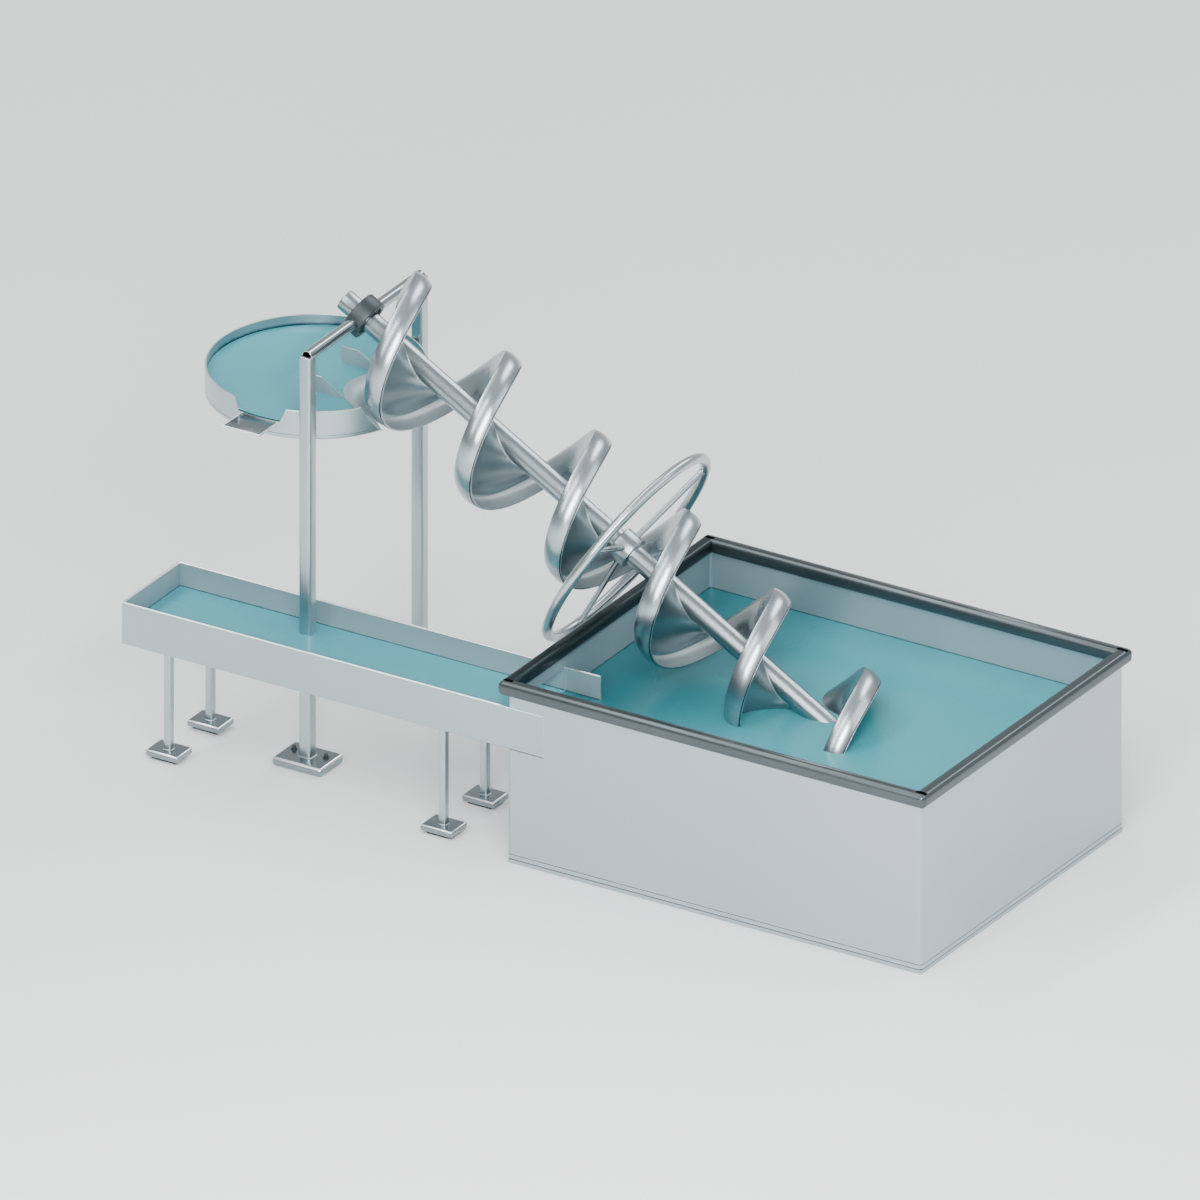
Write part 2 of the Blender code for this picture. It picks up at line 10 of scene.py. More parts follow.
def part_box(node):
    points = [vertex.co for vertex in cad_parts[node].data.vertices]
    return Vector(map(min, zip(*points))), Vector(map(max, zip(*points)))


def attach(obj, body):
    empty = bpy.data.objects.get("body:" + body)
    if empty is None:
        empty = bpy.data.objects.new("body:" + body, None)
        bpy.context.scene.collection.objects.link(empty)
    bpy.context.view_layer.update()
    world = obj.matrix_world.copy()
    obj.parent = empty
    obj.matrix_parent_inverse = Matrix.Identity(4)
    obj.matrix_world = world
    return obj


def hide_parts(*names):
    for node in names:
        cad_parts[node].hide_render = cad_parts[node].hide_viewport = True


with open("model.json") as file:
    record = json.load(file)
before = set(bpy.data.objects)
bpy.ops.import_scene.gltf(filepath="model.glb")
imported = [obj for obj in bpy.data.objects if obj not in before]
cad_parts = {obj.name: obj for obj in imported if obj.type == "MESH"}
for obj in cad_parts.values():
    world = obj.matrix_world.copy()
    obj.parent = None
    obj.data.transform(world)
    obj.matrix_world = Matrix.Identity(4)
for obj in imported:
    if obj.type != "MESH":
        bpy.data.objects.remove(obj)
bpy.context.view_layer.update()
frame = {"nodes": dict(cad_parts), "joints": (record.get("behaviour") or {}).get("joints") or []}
print("frame loaded:", len(frame["nodes"]), "nodes")

near = 0.001  # how close to a plane a face counts as lying on it
past = 0.01  # how far a cutter runs past what it cuts

# The screw's own frame: Z runs down the shaft, X is its top side, Y its front side
spin = frame["joints"][0]
bearingCentre = Vector(spin["pos_m"])
shaftAxis = Vector(spin["axis"]).normalized()
shaftTop = shaftAxis.cross(Vector((0.0, 1.0, 0.0)))
screwFrame = Matrix((
    (shaftTop.x, 0.0, shaftAxis.x, bearingCentre.x),
    (shaftTop.y, -1.0, shaftAxis.y, bearingCentre.y),
    (shaftTop.z, 0.0, shaftAxis.z, bearingCentre.z),
    (0.0, 0.0, 0.0, 1.0),
))


def span(firstNode, lastNode):
    # lowest and highest corner of two nodes together
    (low, high), (otherLow, otherHigh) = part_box(firstNode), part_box(lastNode)
    return Vector(map(min, low, otherLow)), Vector(map(max, high, otherHigh))


# Shader nodes

def feed(tree, socket, value):
    # another node's socket is linked, a plain value is set
    if isinstance(value, bpy.types.NodeSocket):
        tree.links.new(value, socket)
    else:
        socket.default_value = value


def addMath(tree, operation, *values):
    node = tree.nodes.new("ShaderNodeMath")
    node.operation = operation
    for socket, value in zip(node.inputs, values):
        feed(tree, socket, value)
    return node.outputs[0]


def addVectorMath(tree, operation, first, second):
    node = tree.nodes.new("ShaderNodeVectorMath")
    node.operation = operation
    feed(tree, node.inputs[0], first)
    feed(tree, node.inputs[1], second)
    return node


def addNoise(tree, vector, scale, detail=3.0, roughness=0.5):
    node = tree.nodes.new("ShaderNodeTexNoise")
    for label, value in (("Vector", vector), ("Scale", scale), ("Detail", detail), ("Roughness", roughness)):
        feed(tree, node.inputs[label], value)
    return node.outputs["Fac"]


def remap(tree, value, low, high, toLow=0.0, toHigh=1.0):
    node = tree.nodes.new("ShaderNodeMapRange")
    node.interpolation_type = "SMOOTHSTEP"
    for label, number in (("Value", value), ("From Min", low), ("From Max", high),
                          ("To Min", toLow), ("To Max", toHigh)):
        feed(tree, node.inputs[label], number)
    return node.outputs["Result"]


def mixColors(tree, mask, first, second):
    node = tree.nodes.new("ShaderNodeMix")
    node.data_type = "RGBA"
    feed(tree, node.inputs["Factor"], mask)
    for socket, value in ((node.inputs[6], first), (node.inputs[7], second)):
        feed(tree, socket, value if isinstance(value, bpy.types.NodeSocket) else (*value, 1.0))
    return node.outputs[2]


def splitPlace(tree, source, label):
    # X, Y and Z of a place that a node gives out
    split = tree.nodes.new("ShaderNodeSeparateXYZ")
    feed(tree, split.inputs["Vector"], tree.nodes.new(source).outputs[label])
    return split.outputs


def newGroup(name, inputs, outputs):
    tree = bpy.data.node_groups.new(name, "ShaderNodeTree")
    for label, kind, value in inputs:
        socket = tree.interface.new_socket(name=label, in_out="INPUT", socket_type="NodeSocket" + kind)
        socket.default_value = value
    for label, kind in outputs:
        tree.interface.new_socket(name=label, in_out="OUTPUT", socket_type="NodeSocket" + kind)
    return tree, tree.nodes.new("NodeGroupInput").outputs, tree.nodes.new("NodeGroupOutput").inputs


def placeGroup(tree, group, **values):
    node = tree.nodes.new("ShaderNodeGroup")
    node.node_tree = group
    for label, value in values.items():
        node.inputs[label].default_value = value
    return node.outputs


def buildGrainGroup():
    # fine lines of a satin finish, drawn out along one direction by Stretch
    tree, given, sink = newGroup("satin grain", (
        ("Stretch", "Vector", (1.0, 1.0, 1.0)), ("Tilt", "Float", 0.0),
        ("Fineness", "Float", 900.0), ("Depth", "Float", 0.1)), (("Lines", "Float"), ("Normal", "Vector")))
    turn = tree.nodes.new("ShaderNodeVectorRotate")
    turn.rotation_type = "Y_AXIS"
    feed(tree, turn.inputs["Vector"], tree.nodes.new("ShaderNodeTexCoord").outputs["Object"])
    feed(tree, turn.inputs["Angle"], given["Tilt"])
    drawn = addVectorMath(tree, "MULTIPLY", turn.outputs["Vector"], given["Stretch"]).outputs["Vector"]
    lines = addNoise(tree, drawn, given["Fineness"], 4.0, 0.62)
    bump = tree.nodes.new("ShaderNodeBump")
    for label, value in (("Distance", 0.0002), ("Strength", given["Depth"]), ("Height", lines)):
        feed(tree, bump.inputs[label], value)
    feed(tree, sink["Lines"], lines)
    feed(tree, sink["Normal"], bump.outputs["Normal"])
    return tree


def buildCloudGroup():
    # broad, soft patches, as a wiped sheet has
    tree, given, sink = newGroup("wiped patches", (
        ("Size", "Float", 3.0), ("Contrast", "Float", 0.5)), (("Patches", "Float"),))
    place = tree.nodes.new("ShaderNodeTexCoord").outputs["Object"]
    broad = addNoise(tree, place, given["Size"], 2.0, 0.45)
    half = addMath(tree, "MULTIPLY", given["Contrast"], 0.5)
    low, high = addMath(tree, "SUBTRACT", 0.5, half), addMath(tree, "ADD", 0.5, half)
    feed(tree, sink["Patches"], remap(tree, broad, low, high))
    return tree


def buildEdgeHighlightGroup():
    # painted highlight: edges get a lighter colour where the rounded normal turns away from the face's own
    tree, given, sink = newGroup("painted edge highlight", (
        ("Width", "Float", 0.002), ("Strength", "Float", 1.0)), (("Edge", "Float"),))
    rounded = tree.nodes.new("ShaderNodeBevel")
    rounded.samples = 4
    feed(tree, rounded.inputs["Radius"], given["Width"])
    plain = tree.nodes.new("ShaderNodeNewGeometry").outputs["Normal"]
    alike = addVectorMath(tree, "DOT_PRODUCT", rounded.outputs["Normal"], plain).outputs["Value"]
    edge = remap(tree, addMath(tree, "SUBTRACT", 1.0, alike), 0.01, 0.25)
    feed(tree, sink["Edge"], addMath(tree, "MULTIPLY", edge, given["Strength"]))
    return tree


def buildWaterlineShadeGroup():
    # painted shade: a darker, smoother band just above still water, standing in for the dark line at the
    # waterline
    tree, given, sink = newGroup("wet line", (
        ("Level", "Float", 0.366), ("Height", "Float", 0.006)), (("WaterlineShade", "Float"),))
    wobble = addNoise(tree, tree.nodes.new("ShaderNodeNewGeometry").outputs["Position"], 40.0, 2.0)
    rise = addMath(tree, "MULTIPLY", addMath(tree, "ADD", wobble, 0.4), given["Height"])
    top, bottom = addMath(tree, "ADD", given["Level"], rise), addMath(tree, "ADD", given["Level"], 0.002)
    height = splitPlace(tree, "ShaderNodeNewGeometry", "Position")["Z"]
    feed(tree, sink["WaterlineShade"], remap(tree, height, bottom, top, 1.0, 0.0))
    return tree


grainGroup = buildGrainGroup()
cloudGroup = buildCloudGroup()
edgeHighlightGroup = buildEdgeHighlightGroup()
waterlineShadeGroup = buildWaterlineShadeGroup()


# Materials

def newMaterial(name):
    material = bpy.data.materials.new(name)
    material.use_nodes = True
    return material, material.node_tree, material.node_tree.nodes["Principled BSDF"].inputs


def steelMaterial(name, look):
    # satin or half polished stainless steel; look holds what one finish changes
    material, tree, shader = newMaterial(name)
    shader["Metallic"].default_value = look.get("metallic", 1.0)
    shader["Specular IOR Level"].default_value = look.get("specular", 0.5)
    grain = placeGroup(tree, grainGroup, Stretch=look.get("stretch", (1.0, 1.0, 1.0)),
                       Tilt=look.get("tilt", 0.0), Fineness=look["fineness"], Depth=look["depth"])
    patches = placeGroup(tree, cloudGroup, Size=look["patchSize"], Contrast=0.5)["Patches"]
    color = mixColors(tree, patches, look["color"], look["patchColor"])
    # lighter colour along edges: a painted highlight
    if "edgeHighlightColor" in look:
        edge = placeGroup(tree, edgeHighlightGroup, Width=look["edgeHighlightWidth"], Strength=look["edgeHighlightStrength"])
        color = mixColors(tree, edge["Edge"], color, look["edgeHighlightColor"])
    spread = addMath(tree, "MULTIPLY", grain["Lines"], look["roughSpread"])
    rough = addMath(tree, "ADD", spread, look["roughness"] - look["roughSpread"] / 2)
    rough = addMath(tree, "MULTIPLY_ADD", patches, look["roughPatch"], rough)
    # painted shade: a darker band just above the water line
    if "waterlineShadeLevel" in look:
        wet = placeGroup(tree, waterlineShadeGroup, Level=look["waterlineShadeLevel"], Height=look["waterlineShadeHeight"])["WaterlineShade"]
        color = mixColors(tree, wet, color, look["waterlineShadeColor"])
        rough = addMath(tree, "MULTIPLY_ADD", wet, -0.12, rough)
    feed(tree, shader["Base Color"], color)
    feed(tree, shader["Roughness"], rough)
    feed(tree, shader["Normal"], grain["Normal"])
    return material


waterLevel = 0.366
basinLevel = 0.940

# the edge colours in these looks are painted highlights along rounded edges
sheetLook = {
    "color": (0.43, 0.515, 0.55), "patchColor": (0.415, 0.495, 0.53), "edgeHighlightColor": (0.80, 0.83, 0.84),
    "roughness": 0.34, "roughSpread": 0.06, "roughPatch": 0.03, "stretch": (0.02, 1.0, 1.0),
    "fineness": 700.0, "depth": 0.02, "patchSize": 2.2, "edgeHighlightWidth": 0.0015, "edgeHighlightStrength": 0.8,
}
# inside walls: a darker, bluer copy of the sheet steel, as painted shade and painted reflection of the water,
# with a painted dark band at the waterline
shadedInsideLook = dict(sheetLook, color=(0.335, 0.445, 0.485), patchColor=(0.31, 0.415, 0.455), roughness=0.45,
                  metallic=0.6, waterlineShadeLevel=waterLevel, waterlineShadeHeight=0.006, waterlineShadeColor=(0.09, 0.15, 0.17))
# inside the basin: a little darker and bluer than the sheet, as painted shade and painted reflection of the
# water, with a thicker painted dark band at the waterline
shadedBasinLook = dict(sheetLook, color=(0.38, 0.47, 0.505), patchColor=(0.35, 0.44, 0.475), roughness=0.38,
                 stretch=(1.0, 1.0, 0.05), waterlineShadeLevel=basinLevel, waterlineShadeHeight=0.013, waterlineShadeColor=(0.06, 0.10, 0.115))
tubeLook = dict(sheetLook, color=(0.49, 0.57, 0.59), roughness=0.30, stretch=(1.0, 1.0, 0.02))
plainLook = dict(sheetLook, color=(0.36, 0.455, 0.485), patchColor=(0.33, 0.425, 0.455), roughness=0.42,
                 metallic=0.6)
railLook = {
    "color": (0.084, 0.102, 0.110), "patchColor": (0.074, 0.091, 0.099), "edgeHighlightColor": (0.16, 0.18, 0.19),
    "roughness": 0.28, "roughSpread": 0.06, "roughPatch": 0.04, "metallic": 0.8,
    "fineness": 260.0, "depth": 0.06, "patchSize": 3.0, "edgeHighlightWidth": 0.002, "edgeHighlightStrength": 0.3,
}
# the left rail's darker copy of the rail steel: painted shade
shadedRailLook = dict(railLook, color=(0.030, 0.045, 0.052), patchColor=(0.025, 0.038, 0.045))
bearingLook = {
    "color": (0.060, 0.073, 0.080), "patchColor": (0.050, 0.062, 0.069), "edgeHighlightColor": (0.15, 0.17, 0.18),
    "roughness": 0.38, "roughSpread": 0.06, "roughPatch": 0.05, "metallic": 0.7,
    "fineness": 300.0, "depth": 0.04, "patchSize": 12.0, "edgeHighlightWidth": 0.002, "edgeHighlightStrength": 0.6,
}
# flat black without shine, for the rim's corner slots and the crossbeam bores: painted shade in recesses
recessShadeLook = dict(bearingLook, color=(0.006, 0.007, 0.007), patchColor=(0.004, 0.005, 0.005),
                 edgeHighlightColor=(0.01, 0.011, 0.012), roughness=0.6, metallic=0.0, specular=0.0, depth=0.0)
# near black: real seams on the tank and the basin floor, and painted shade at the tank's foot and in the
# flight's groove
seamAndShadeLook = dict(bearingLook, color=(0.035, 0.045, 0.05), patchColor=(0.028, 0.036, 0.04),
                edgeHighlightColor=(0.045, 0.055, 0.06), roughness=0.5)
brightLook = {
    "color": (0.43, 0.49, 0.515), "patchColor": (0.40, 0.46, 0.485), "roughness": 0.21, "roughSpread": 0.006,
    "roughPatch": 0.03, "fineness": 320.0, "depth": 0.0, "patchSize": 5.0,
}
flightLook = dict(brightLook, roughness=0.26, patchSize=7.0)
# the flight's hollow side, darker than the flight steel: painted shade; the inside of the lip, lighter and
# rougher where it faces up: painted light
shadedHollowLook = dict(brightLook, color=(0.27, 0.335, 0.36), patchColor=(0.24, 0.305, 0.33), roughness=0.30,
                  metallic=0.95)
litLipLook = dict(brightLook, color=(0.56, 0.62, 0.645), patchColor=(0.53, 0.59, 0.615), roughness=0.38,
               metallic=0.75)
shaftLook = dict(brightLook, color=(0.34, 0.39, 0.412), patchColor=(0.315, 0.365, 0.386), roughness=0.26,
                 fineness=500.0, stretch=(0.2, 0.2, 1.0), tilt=math.radians(60.0))
wheelLook = dict(brightLook, color=(0.47, 0.53, 0.555), patchColor=(0.44, 0.50, 0.525), roughness=0.25,
                 metallic=0.94)
weldLook = dict(brightLook, color=(0.53, 0.575, 0.59), roughness=0.30, fineness=180.0, depth=0.12)
# near white steel for beads, rims and cut edges: a painted highlight where light catches them
highlightEdgeLook = dict(brightLook, color=(0.95, 0.96, 0.965), patchColor=(0.92, 0.93, 0.935), roughness=0.30)
# a darker copy of the bright steel for plates, whose tops read darker: painted shade
shadedPlateLook = dict(brightLook, color=(0.295, 0.345, 0.365), patchColor=(0.27, 0.32, 0.34))

sheetSteel = steelMaterial("satin sheet", sheetLook)
shadedInsideSteel = steelMaterial("wetted sheet", shadedInsideLook)
shadedBasinSteel = steelMaterial("basin sheet", shadedBasinLook)
tubeSteel = steelMaterial("satin tube", tubeLook)
plainSteel = steelMaterial("plain sheet", plainLook)
railSteel = steelMaterial("dark rail", railLook)
shadedRailSteel = steelMaterial("darkest rail", shadedRailLook)
bearingGrey = steelMaterial("bearing grey", bearingLook)
recessShadeBlack = steelMaterial("slot black", recessShadeLook)
seamAndShadeSteel = steelMaterial("dark seam", seamAndShadeLook)
brightSteel = steelMaterial("bright steel", brightLook)
flightSteel = steelMaterial("screw flight steel", flightLook)
shadedHollowSteel = steelMaterial("flight hollow", shadedHollowLook)
litLipSteel = steelMaterial("inside of the lip in painted light", litLipLook)
shaftSteel = steelMaterial("turned shaft", shaftLook)
wheelSteel = steelMaterial("handwheel steel", wheelLook)
weldSteel = steelMaterial("weld bead", weldLook)
highlightEdgeSteel = steelMaterial("edge steel in painted highlight", highlightEdgeLook)
shadedPlateSteel = steelMaterial("plate steel", shadedPlateLook)


def waterMaterial(name, look):
    material, tree, shader = newMaterial(name)
    shader["Metallic"].default_value = 0.0
    shader["IOR"].default_value = 1.5
    patches = placeGroup(tree, cloudGroup, Size=look["patchSize"], Contrast=0.6)["Patches"]
    color = mixColors(tree, patches, look["color"], look["deepColor"])
    if "shade" in look:
        # darker where the screw shades it, fading out all round
        here = splitPlace(tree, "ShaderNodeNewGeometry", "Position")
        x, y, halfLength = look["shade"]
        along = addMath(tree, "ABSOLUTE", addMath(tree, "SUBTRACT", here["Y"], y))
        along = addMath(tree, "MAXIMUM", addMath(tree, "SUBTRACT", along, halfLength), 0.0)
        across = addMath(tree, "SUBTRACT", here["X"], x)
        away = addMath(tree, "MULTIPLY_ADD", along, along, addMath(tree, "MULTIPLY", across, across))
        shade = remap(tree, addMath(tree, "SQRT", away), 0.0, look["shadeReach"], 0.9, 0.0)
        color = mixColors(tree, shade, color, look["shadeColor"])
    feed(tree, shader["Base Color"], color)
    low, high = look["roughness"] * 0.85, look["roughness"] * 1.15
    feed(tree, shader["Roughness"], remap(tree, patches, 0.0, 1.0, low, high))
    return material


tankWaterLook = {
    "color": (0.050, 0.28, 0.325), "deepColor": (0.041, 0.255, 0.30), "patchSize": 2.0, "roughness": 0.27,
    "shade": (0.04, 0.06, 0.22), "shadeReach": 0.45, "shadeColor": (0.006, 0.105, 0.13),
}
basinWaterLook = {"color": (0.070, 0.325, 0.385), "deepColor": (0.061, 0.30, 0.36), "patchSize": 2.0,
                  "roughness": 0.27}
tankWater = waterMaterial("tank water", tankWaterLook)
basinWater = waterMaterial("basin water", basinWaterLook)
print("materials ready")


# Mesh helpers

def addObject(name, data):
    added = bpy.data.objects.new(name, data)
    bpy.context.scene.collection.objects.link(added)
    return added


def addPiece(name, mesh, materials, replaced=(), place=None, sharpAngle=35.0, body="frame"):
    mesh.name = name
    mesh.materials.clear()
    for material in materials if isinstance(materials, tuple) else (materials,):
        mesh.materials.append(material)
    mesh.shade_smooth()
    mesh.set_sharp_from_angle(angle=math.radians(sharpAngle))
    if place is not None:
        mesh.transform(place)
    piece = addObject(name, mesh)
    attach(piece, body)
    if replaced:
        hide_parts(*replaced)
    return piece


def dressNode(name, material):
    # a CAD node that stays as it is gets its finish
    mesh = frame["nodes"][name].data
    mesh.materials.clear()
    mesh.materials.append(material)


def paintFaces(piece, index, chosen):
    # gives the chosen faces another of the piece's materials
    for face in piece.data.polygons:
        if chosen(face.center, face.normal):
            face.material_index = index


def keepMesh(shape):
    mesh = bpy.data.meshes.new("shape")
    bmesh.ops.remove_doubles(shape, verts=shape.verts[:], dist=0.000001)
    bmesh.ops.recalc_face_normals(shape, faces=shape.faces)
    shape.to_mesh(mesh)
    shape.free()
    return mesh


def loftMesh(rings, closeAround=True, closeAlong=False, capEnds=False):
    # skins rings of points, all with the same count
    shape = bmesh.new()
    rows = [[shape.verts.new(point) for point in ring] for ring in rings]
    count = len(rings[0])
    followers = rows[1:] + rows[:1] if closeAlong else rows[1:]
    for row, following in zip(rows, followers):
        for index in range(count if closeAround else count - 1):
            after = (index + 1) % count
            shape.faces.new((row[index], row[after], following[after], following[index]))
    if capEnds:
        shape.faces.new(rows[0])
        shape.faces.new(rows[-1])
    return keepMesh(shape)


def boxMesh(low, high, rounding=0.0, segments=3):
    shape = bmesh.new()
    size = Vector(high) - Vector(low)
    middle = (Vector(high) + Vector(low)) / 2
    bmesh.ops.create_cube(shape, size=1.0, matrix=Matrix.Translation(middle) @ Matrix.Diagonal((*size, 1.0)))
    if rounding:
        bmesh.ops.bevel(shape, geom=shape.edges[:], offset=rounding, segments=segments,
                        profile=0.5, affect="EDGES")
    return keepMesh(shape)


def roundedSquare(width, depth, rounding, steps=6):
    # corner points of a rounded rectangle round the origin, counter-clockwise
    points = []
    for quarter, (signX, signY) in enumerate(((1, 1), (-1, 1), (-1, -1), (1, -1))):
        for step in range(steps + 1):
            angle = math.radians(90.0 * (quarter + step / steps))
            points.append((signX * (width / 2 - rounding) + rounding * math.cos(angle),
                           signY * (depth / 2 - rounding) + rounding * math.sin(angle)))
    return points


def levelRing(x, y, height, width, depth, rounding):
    return [(x + px, y + py, height) for px, py in roundedSquare(width, depth, rounding)]


def tubeMesh(x, y, width, rounding, levels):
    # an upright square tube; a level is a height and how far the wall is drawn in
    rings = []
    for height, inset in levels:
        inner = width - 2 * inset
        rings.append(levelRing(x, y, height, inner, inner, max(rounding - inset, 0.0005)))
    return loftMesh(rings, capEnds=True)


def roundedEnd(height, radius, steps=4):
    # levels that round a tube's upper end over: height and inset
    levels = []
    for step in range(steps + 1):
        angle = math.radians(90.0 * step / steps)
        levels.append((height - radius * (1.0 - math.sin(angle)), radius * (1.0 - math.cos(angle))))
    return levels


def turnedMesh(profile, steps, closed=True):
    # profile is radius and height, turned about Z
    rings = []
    for step in range(steps):
        angle = math.tau * step / steps
        rings.append([(r * math.cos(angle), r * math.sin(angle), z) for r, z in profile])
    return loftMesh(rings, closeAround=closed, closeAlong=True)


def rodMesh(radius, low, high, steps):
    # a plain round rod along Z, for cutting
    return turnedMesh(((0.0, low), (radius, low), (radius, high), (0.0, high)), steps, False)


def roundCorner(centre, radius, start, end, steps=4):
    # points of an arc in a profile; angles in degrees
    points = []
    for step in range(steps + 1):
        angle = math.radians(start + (end - start) * step / steps)
        points.append((centre[0] + radius * math.cos(angle), centre[1] + radius * math.sin(angle)))
    return points


def cutterObject(mesh, place=None, index=0):
    # index is the material that the cut's own faces get
    if place is not None:
        mesh.transform(place)
    for face in mesh.polygons:
        face.material_index = index
    return addObject("cutter", mesh)


def carve(piece, cutter, operation="DIFFERENCE"):
    # Boolean, applied to the mesh; the cutter goes
    cut = piece.modifiers.new("carve", "BOOLEAN")
    cut.operation = operation
    cut.object = cutter
    cut.solver = "EXACT"
    cut.use_self = False
    bpy.context.view_layer.update()
    evaluated = piece.evaluated_get(bpy.context.evaluated_depsgraph_get())
    mesh = bpy.data.meshes.new_from_object(evaluated)
    piece.modifiers.remove(cut)
    piece.data = mesh
    bpy.data.objects.remove(cutter)


# Tank

tankLow, tankHigh = span("tank_wall_left", "tank_wall_right")
tankLow.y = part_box("tank_wall_front")[0].y
tankHigh.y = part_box("tank_wall_back")[1].y
troughLow, troughHigh = span("trough_side_front", "trough_side_back")

tank = {"sheet": 0.004, "cornerRounding": 0.012, "intoRail": 0.006, "hairline": 0.0009, "footShadow": 0.0008,
        "seam": 0.0135, "lineHalf": 0.0008, "lineProud": 0.0002}


def rectRing(height, inset):
    # a level ring round the tank, drawn in by inset
    middle = (tankLow + tankHigh) / 2
    return levelRing(middle.x, middle.y, height, tankHigh.x - tankLow.x - 2 * inset,
                     tankHigh.y - tankLow.y - 2 * inset, tank["cornerRounding"] - inset)


def buildTank():
    sheet, gap, half, proud = tank["sheet"], tank["hairline"], tank["lineHalf"], tank["lineProud"]
    lowIn = tankLow + Vector((sheet, sheet, 0.0))
    highIn = tankHigh - Vector((sheet, sheet, 0.0))
    bottom, top = tankLow.z, tankHigh.z + tank["intoRail"]
    levels = ((bottom, 0.0), (top, 0.0), (top, sheet), (bottom, sheet))
    rings = [rectRing(height, inset) for height, inset in levels]
    shell = addPiece("tank_shell", loftMesh(rings, closeAlong=True), (sheetSteel, shadedInsideSteel, highlightEdgeSteel),
                     ("tank_wall_front", "tank_wall_back", "tank_wall_left", "tank_wall_right"))
    # the inside faces get the darker, bluer copy: painted shade and painted water reflection
    paintFaces(shell, 1, lambda centre, normal: lowIn.x - near < centre.x < highIn.x + near
               and lowIn.y - near < centre.y < highIn.y + near)
    low = (tankLow.x - past, tankLow.y - past, troughLow.z - gap / 12)
    high = (troughHigh.x + gap / 3, troughHigh.y + gap, troughHigh.z + gap)
    # the opening's cut faces in near white steel: a painted highlight
    carve(shell, cutterObject(boxMesh(low, high), index=2))
    # the dark ring at the very foot of the tank is painted shadow where it meets the floor; the higher ring is
    # a real seam
    for name, height in (("tank_foot_painted_shadow", tank["footShadow"]), ("tank_seam", tank["seam"])):
        levels = ((height - half, -proud), (height + half, -proud),
                  (height + half, sheet / 2), (height - half, sheet / 2))
        rings = [rectRing(bottom + level, inset) for level, inset in levels]
        addPiece(name, loftMesh(rings, closeAlong=True), seamAndShadeSteel)
    dressNode("tank_floor", sheetSteel)


rail = {"rounding": 0.0125, "segments": 6, "slot": (0.030, 0.0125, 0.012), "slotRounding": 0.003,
        "slotInX": 0.0013, "slotInY": 0.0030}


def slotCutter(side, end, top):
    # one of the four small slots in the rim's corners; its cut faces are flat black, as painted shade
    x = tankLow.x + rail["slotInX"] if side < 0 else tankHigh.x - rail["slotInX"]
    y = tankLow.y + rail["slotInY"] if end < 0 else tankHigh.y - rail["slotInY"]
    half = Vector(rail["slot"]) / 2
    centre = Vector((x, y, top))
    return cutterObject(boxMesh(centre - half, centre + half, rail["slotRounding"], 3), index=1)


def addRail(name, mesh, steel, corners, top):
    tube = addPiece(name + "_tube", mesh, (steel, recessShadeBlack), (name,), sharpAngle=60.0)
    for side, end in corners:
        carve(tube, slotCutter(side, end, top))


def buildRails():
    for name, end in (("rim_rail_front", -1), ("rim_rail_back", 1)):
        low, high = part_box(name)
        mesh = boxMesh(low, high, rail["rounding"], rail["segments"])
        addRail(name, mesh, railSteel, ((-1, end), (1, end)), high.z)
    # the left rail gets the darker copy of the rail steel: painted shade
    for name, side, steel in (("rim_rail_left", -1, shadedRailSteel), ("rim_rail_right", 1, railSteel)):
        low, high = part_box(name)
        low.y -= rail["rounding"]  # butts against the long rail's rounded side
        high.y += rail["rounding"]
        middle = (low + high) / 2
        outline = roundedSquare(high.x - low.x, high.z - low.z, rail["rounding"])
        rings = [[(middle.x + x, y, middle.z + z) for x, z in outline] for y in (low.y, high.y)]
        addRail(name, loftMesh(rings, capEnds=True), steel, ((side, -1), (side, 1)), high.z)


buildTank()
buildRails()
print("tank built")


# Return trough and its legs

trough = {"sheet": 0.004, "bend": 0.005, "edge": 0.0008, "endLift": 0.002, "passageGap": 0.0003,
          "passageRounding": 0.0073, "beadWidth": 0.0068, "beadRise": 0.0026, "beadSunk": 0.0006,
          "beadToRail": 0.019, "beadFromRail": 0.020, "mouthFoot": 0.006, "openingFoot": 0.002}
leg = {"width": 0.021, "rounding": 0.0045, "intoPlate": 0.002, "intoTrough": 0.0003,
       "plate": (0.095, 0.0745, 0.018), "plateRounding": 0.006,
       "pad": (0.070, 0.052, 0.008), "padRounding": 0.0012, "bead": 0.0022}
weld = {"inWall": 0.002, "rounding": 0.004}


def troughSection():
    # closed outline of the folded sheet, as Y and Z
    outer, sheet, edge = trough["bend"], trough["sheet"], trough["edge"]
    inner = outer - sheet
    front, back, low, high = troughLow.y, troughHigh.y, troughLow.z, troughHigh.z
    points = [(front + edge, high), (front, high - edge)]
    points += roundCorner((front + outer, low + outer), outer, 180.0, 270.0)
    points += roundCorner((back - outer, low + outer), outer, 270.0, 360.0)
    points += [(back, high - edge), (back - edge, high), (back - sheet + edge, high),
               (back - sheet, high - edge)]
    points += roundCorner((back - outer, low + outer), inner, 360.0, 270.0, 3)
    points += roundCorner((front + outer, low + outer), inner, 270.0, 180.0, 3)
    points += [(front + sheet, high - edge), (front + sheet - edge, high)]
    return points


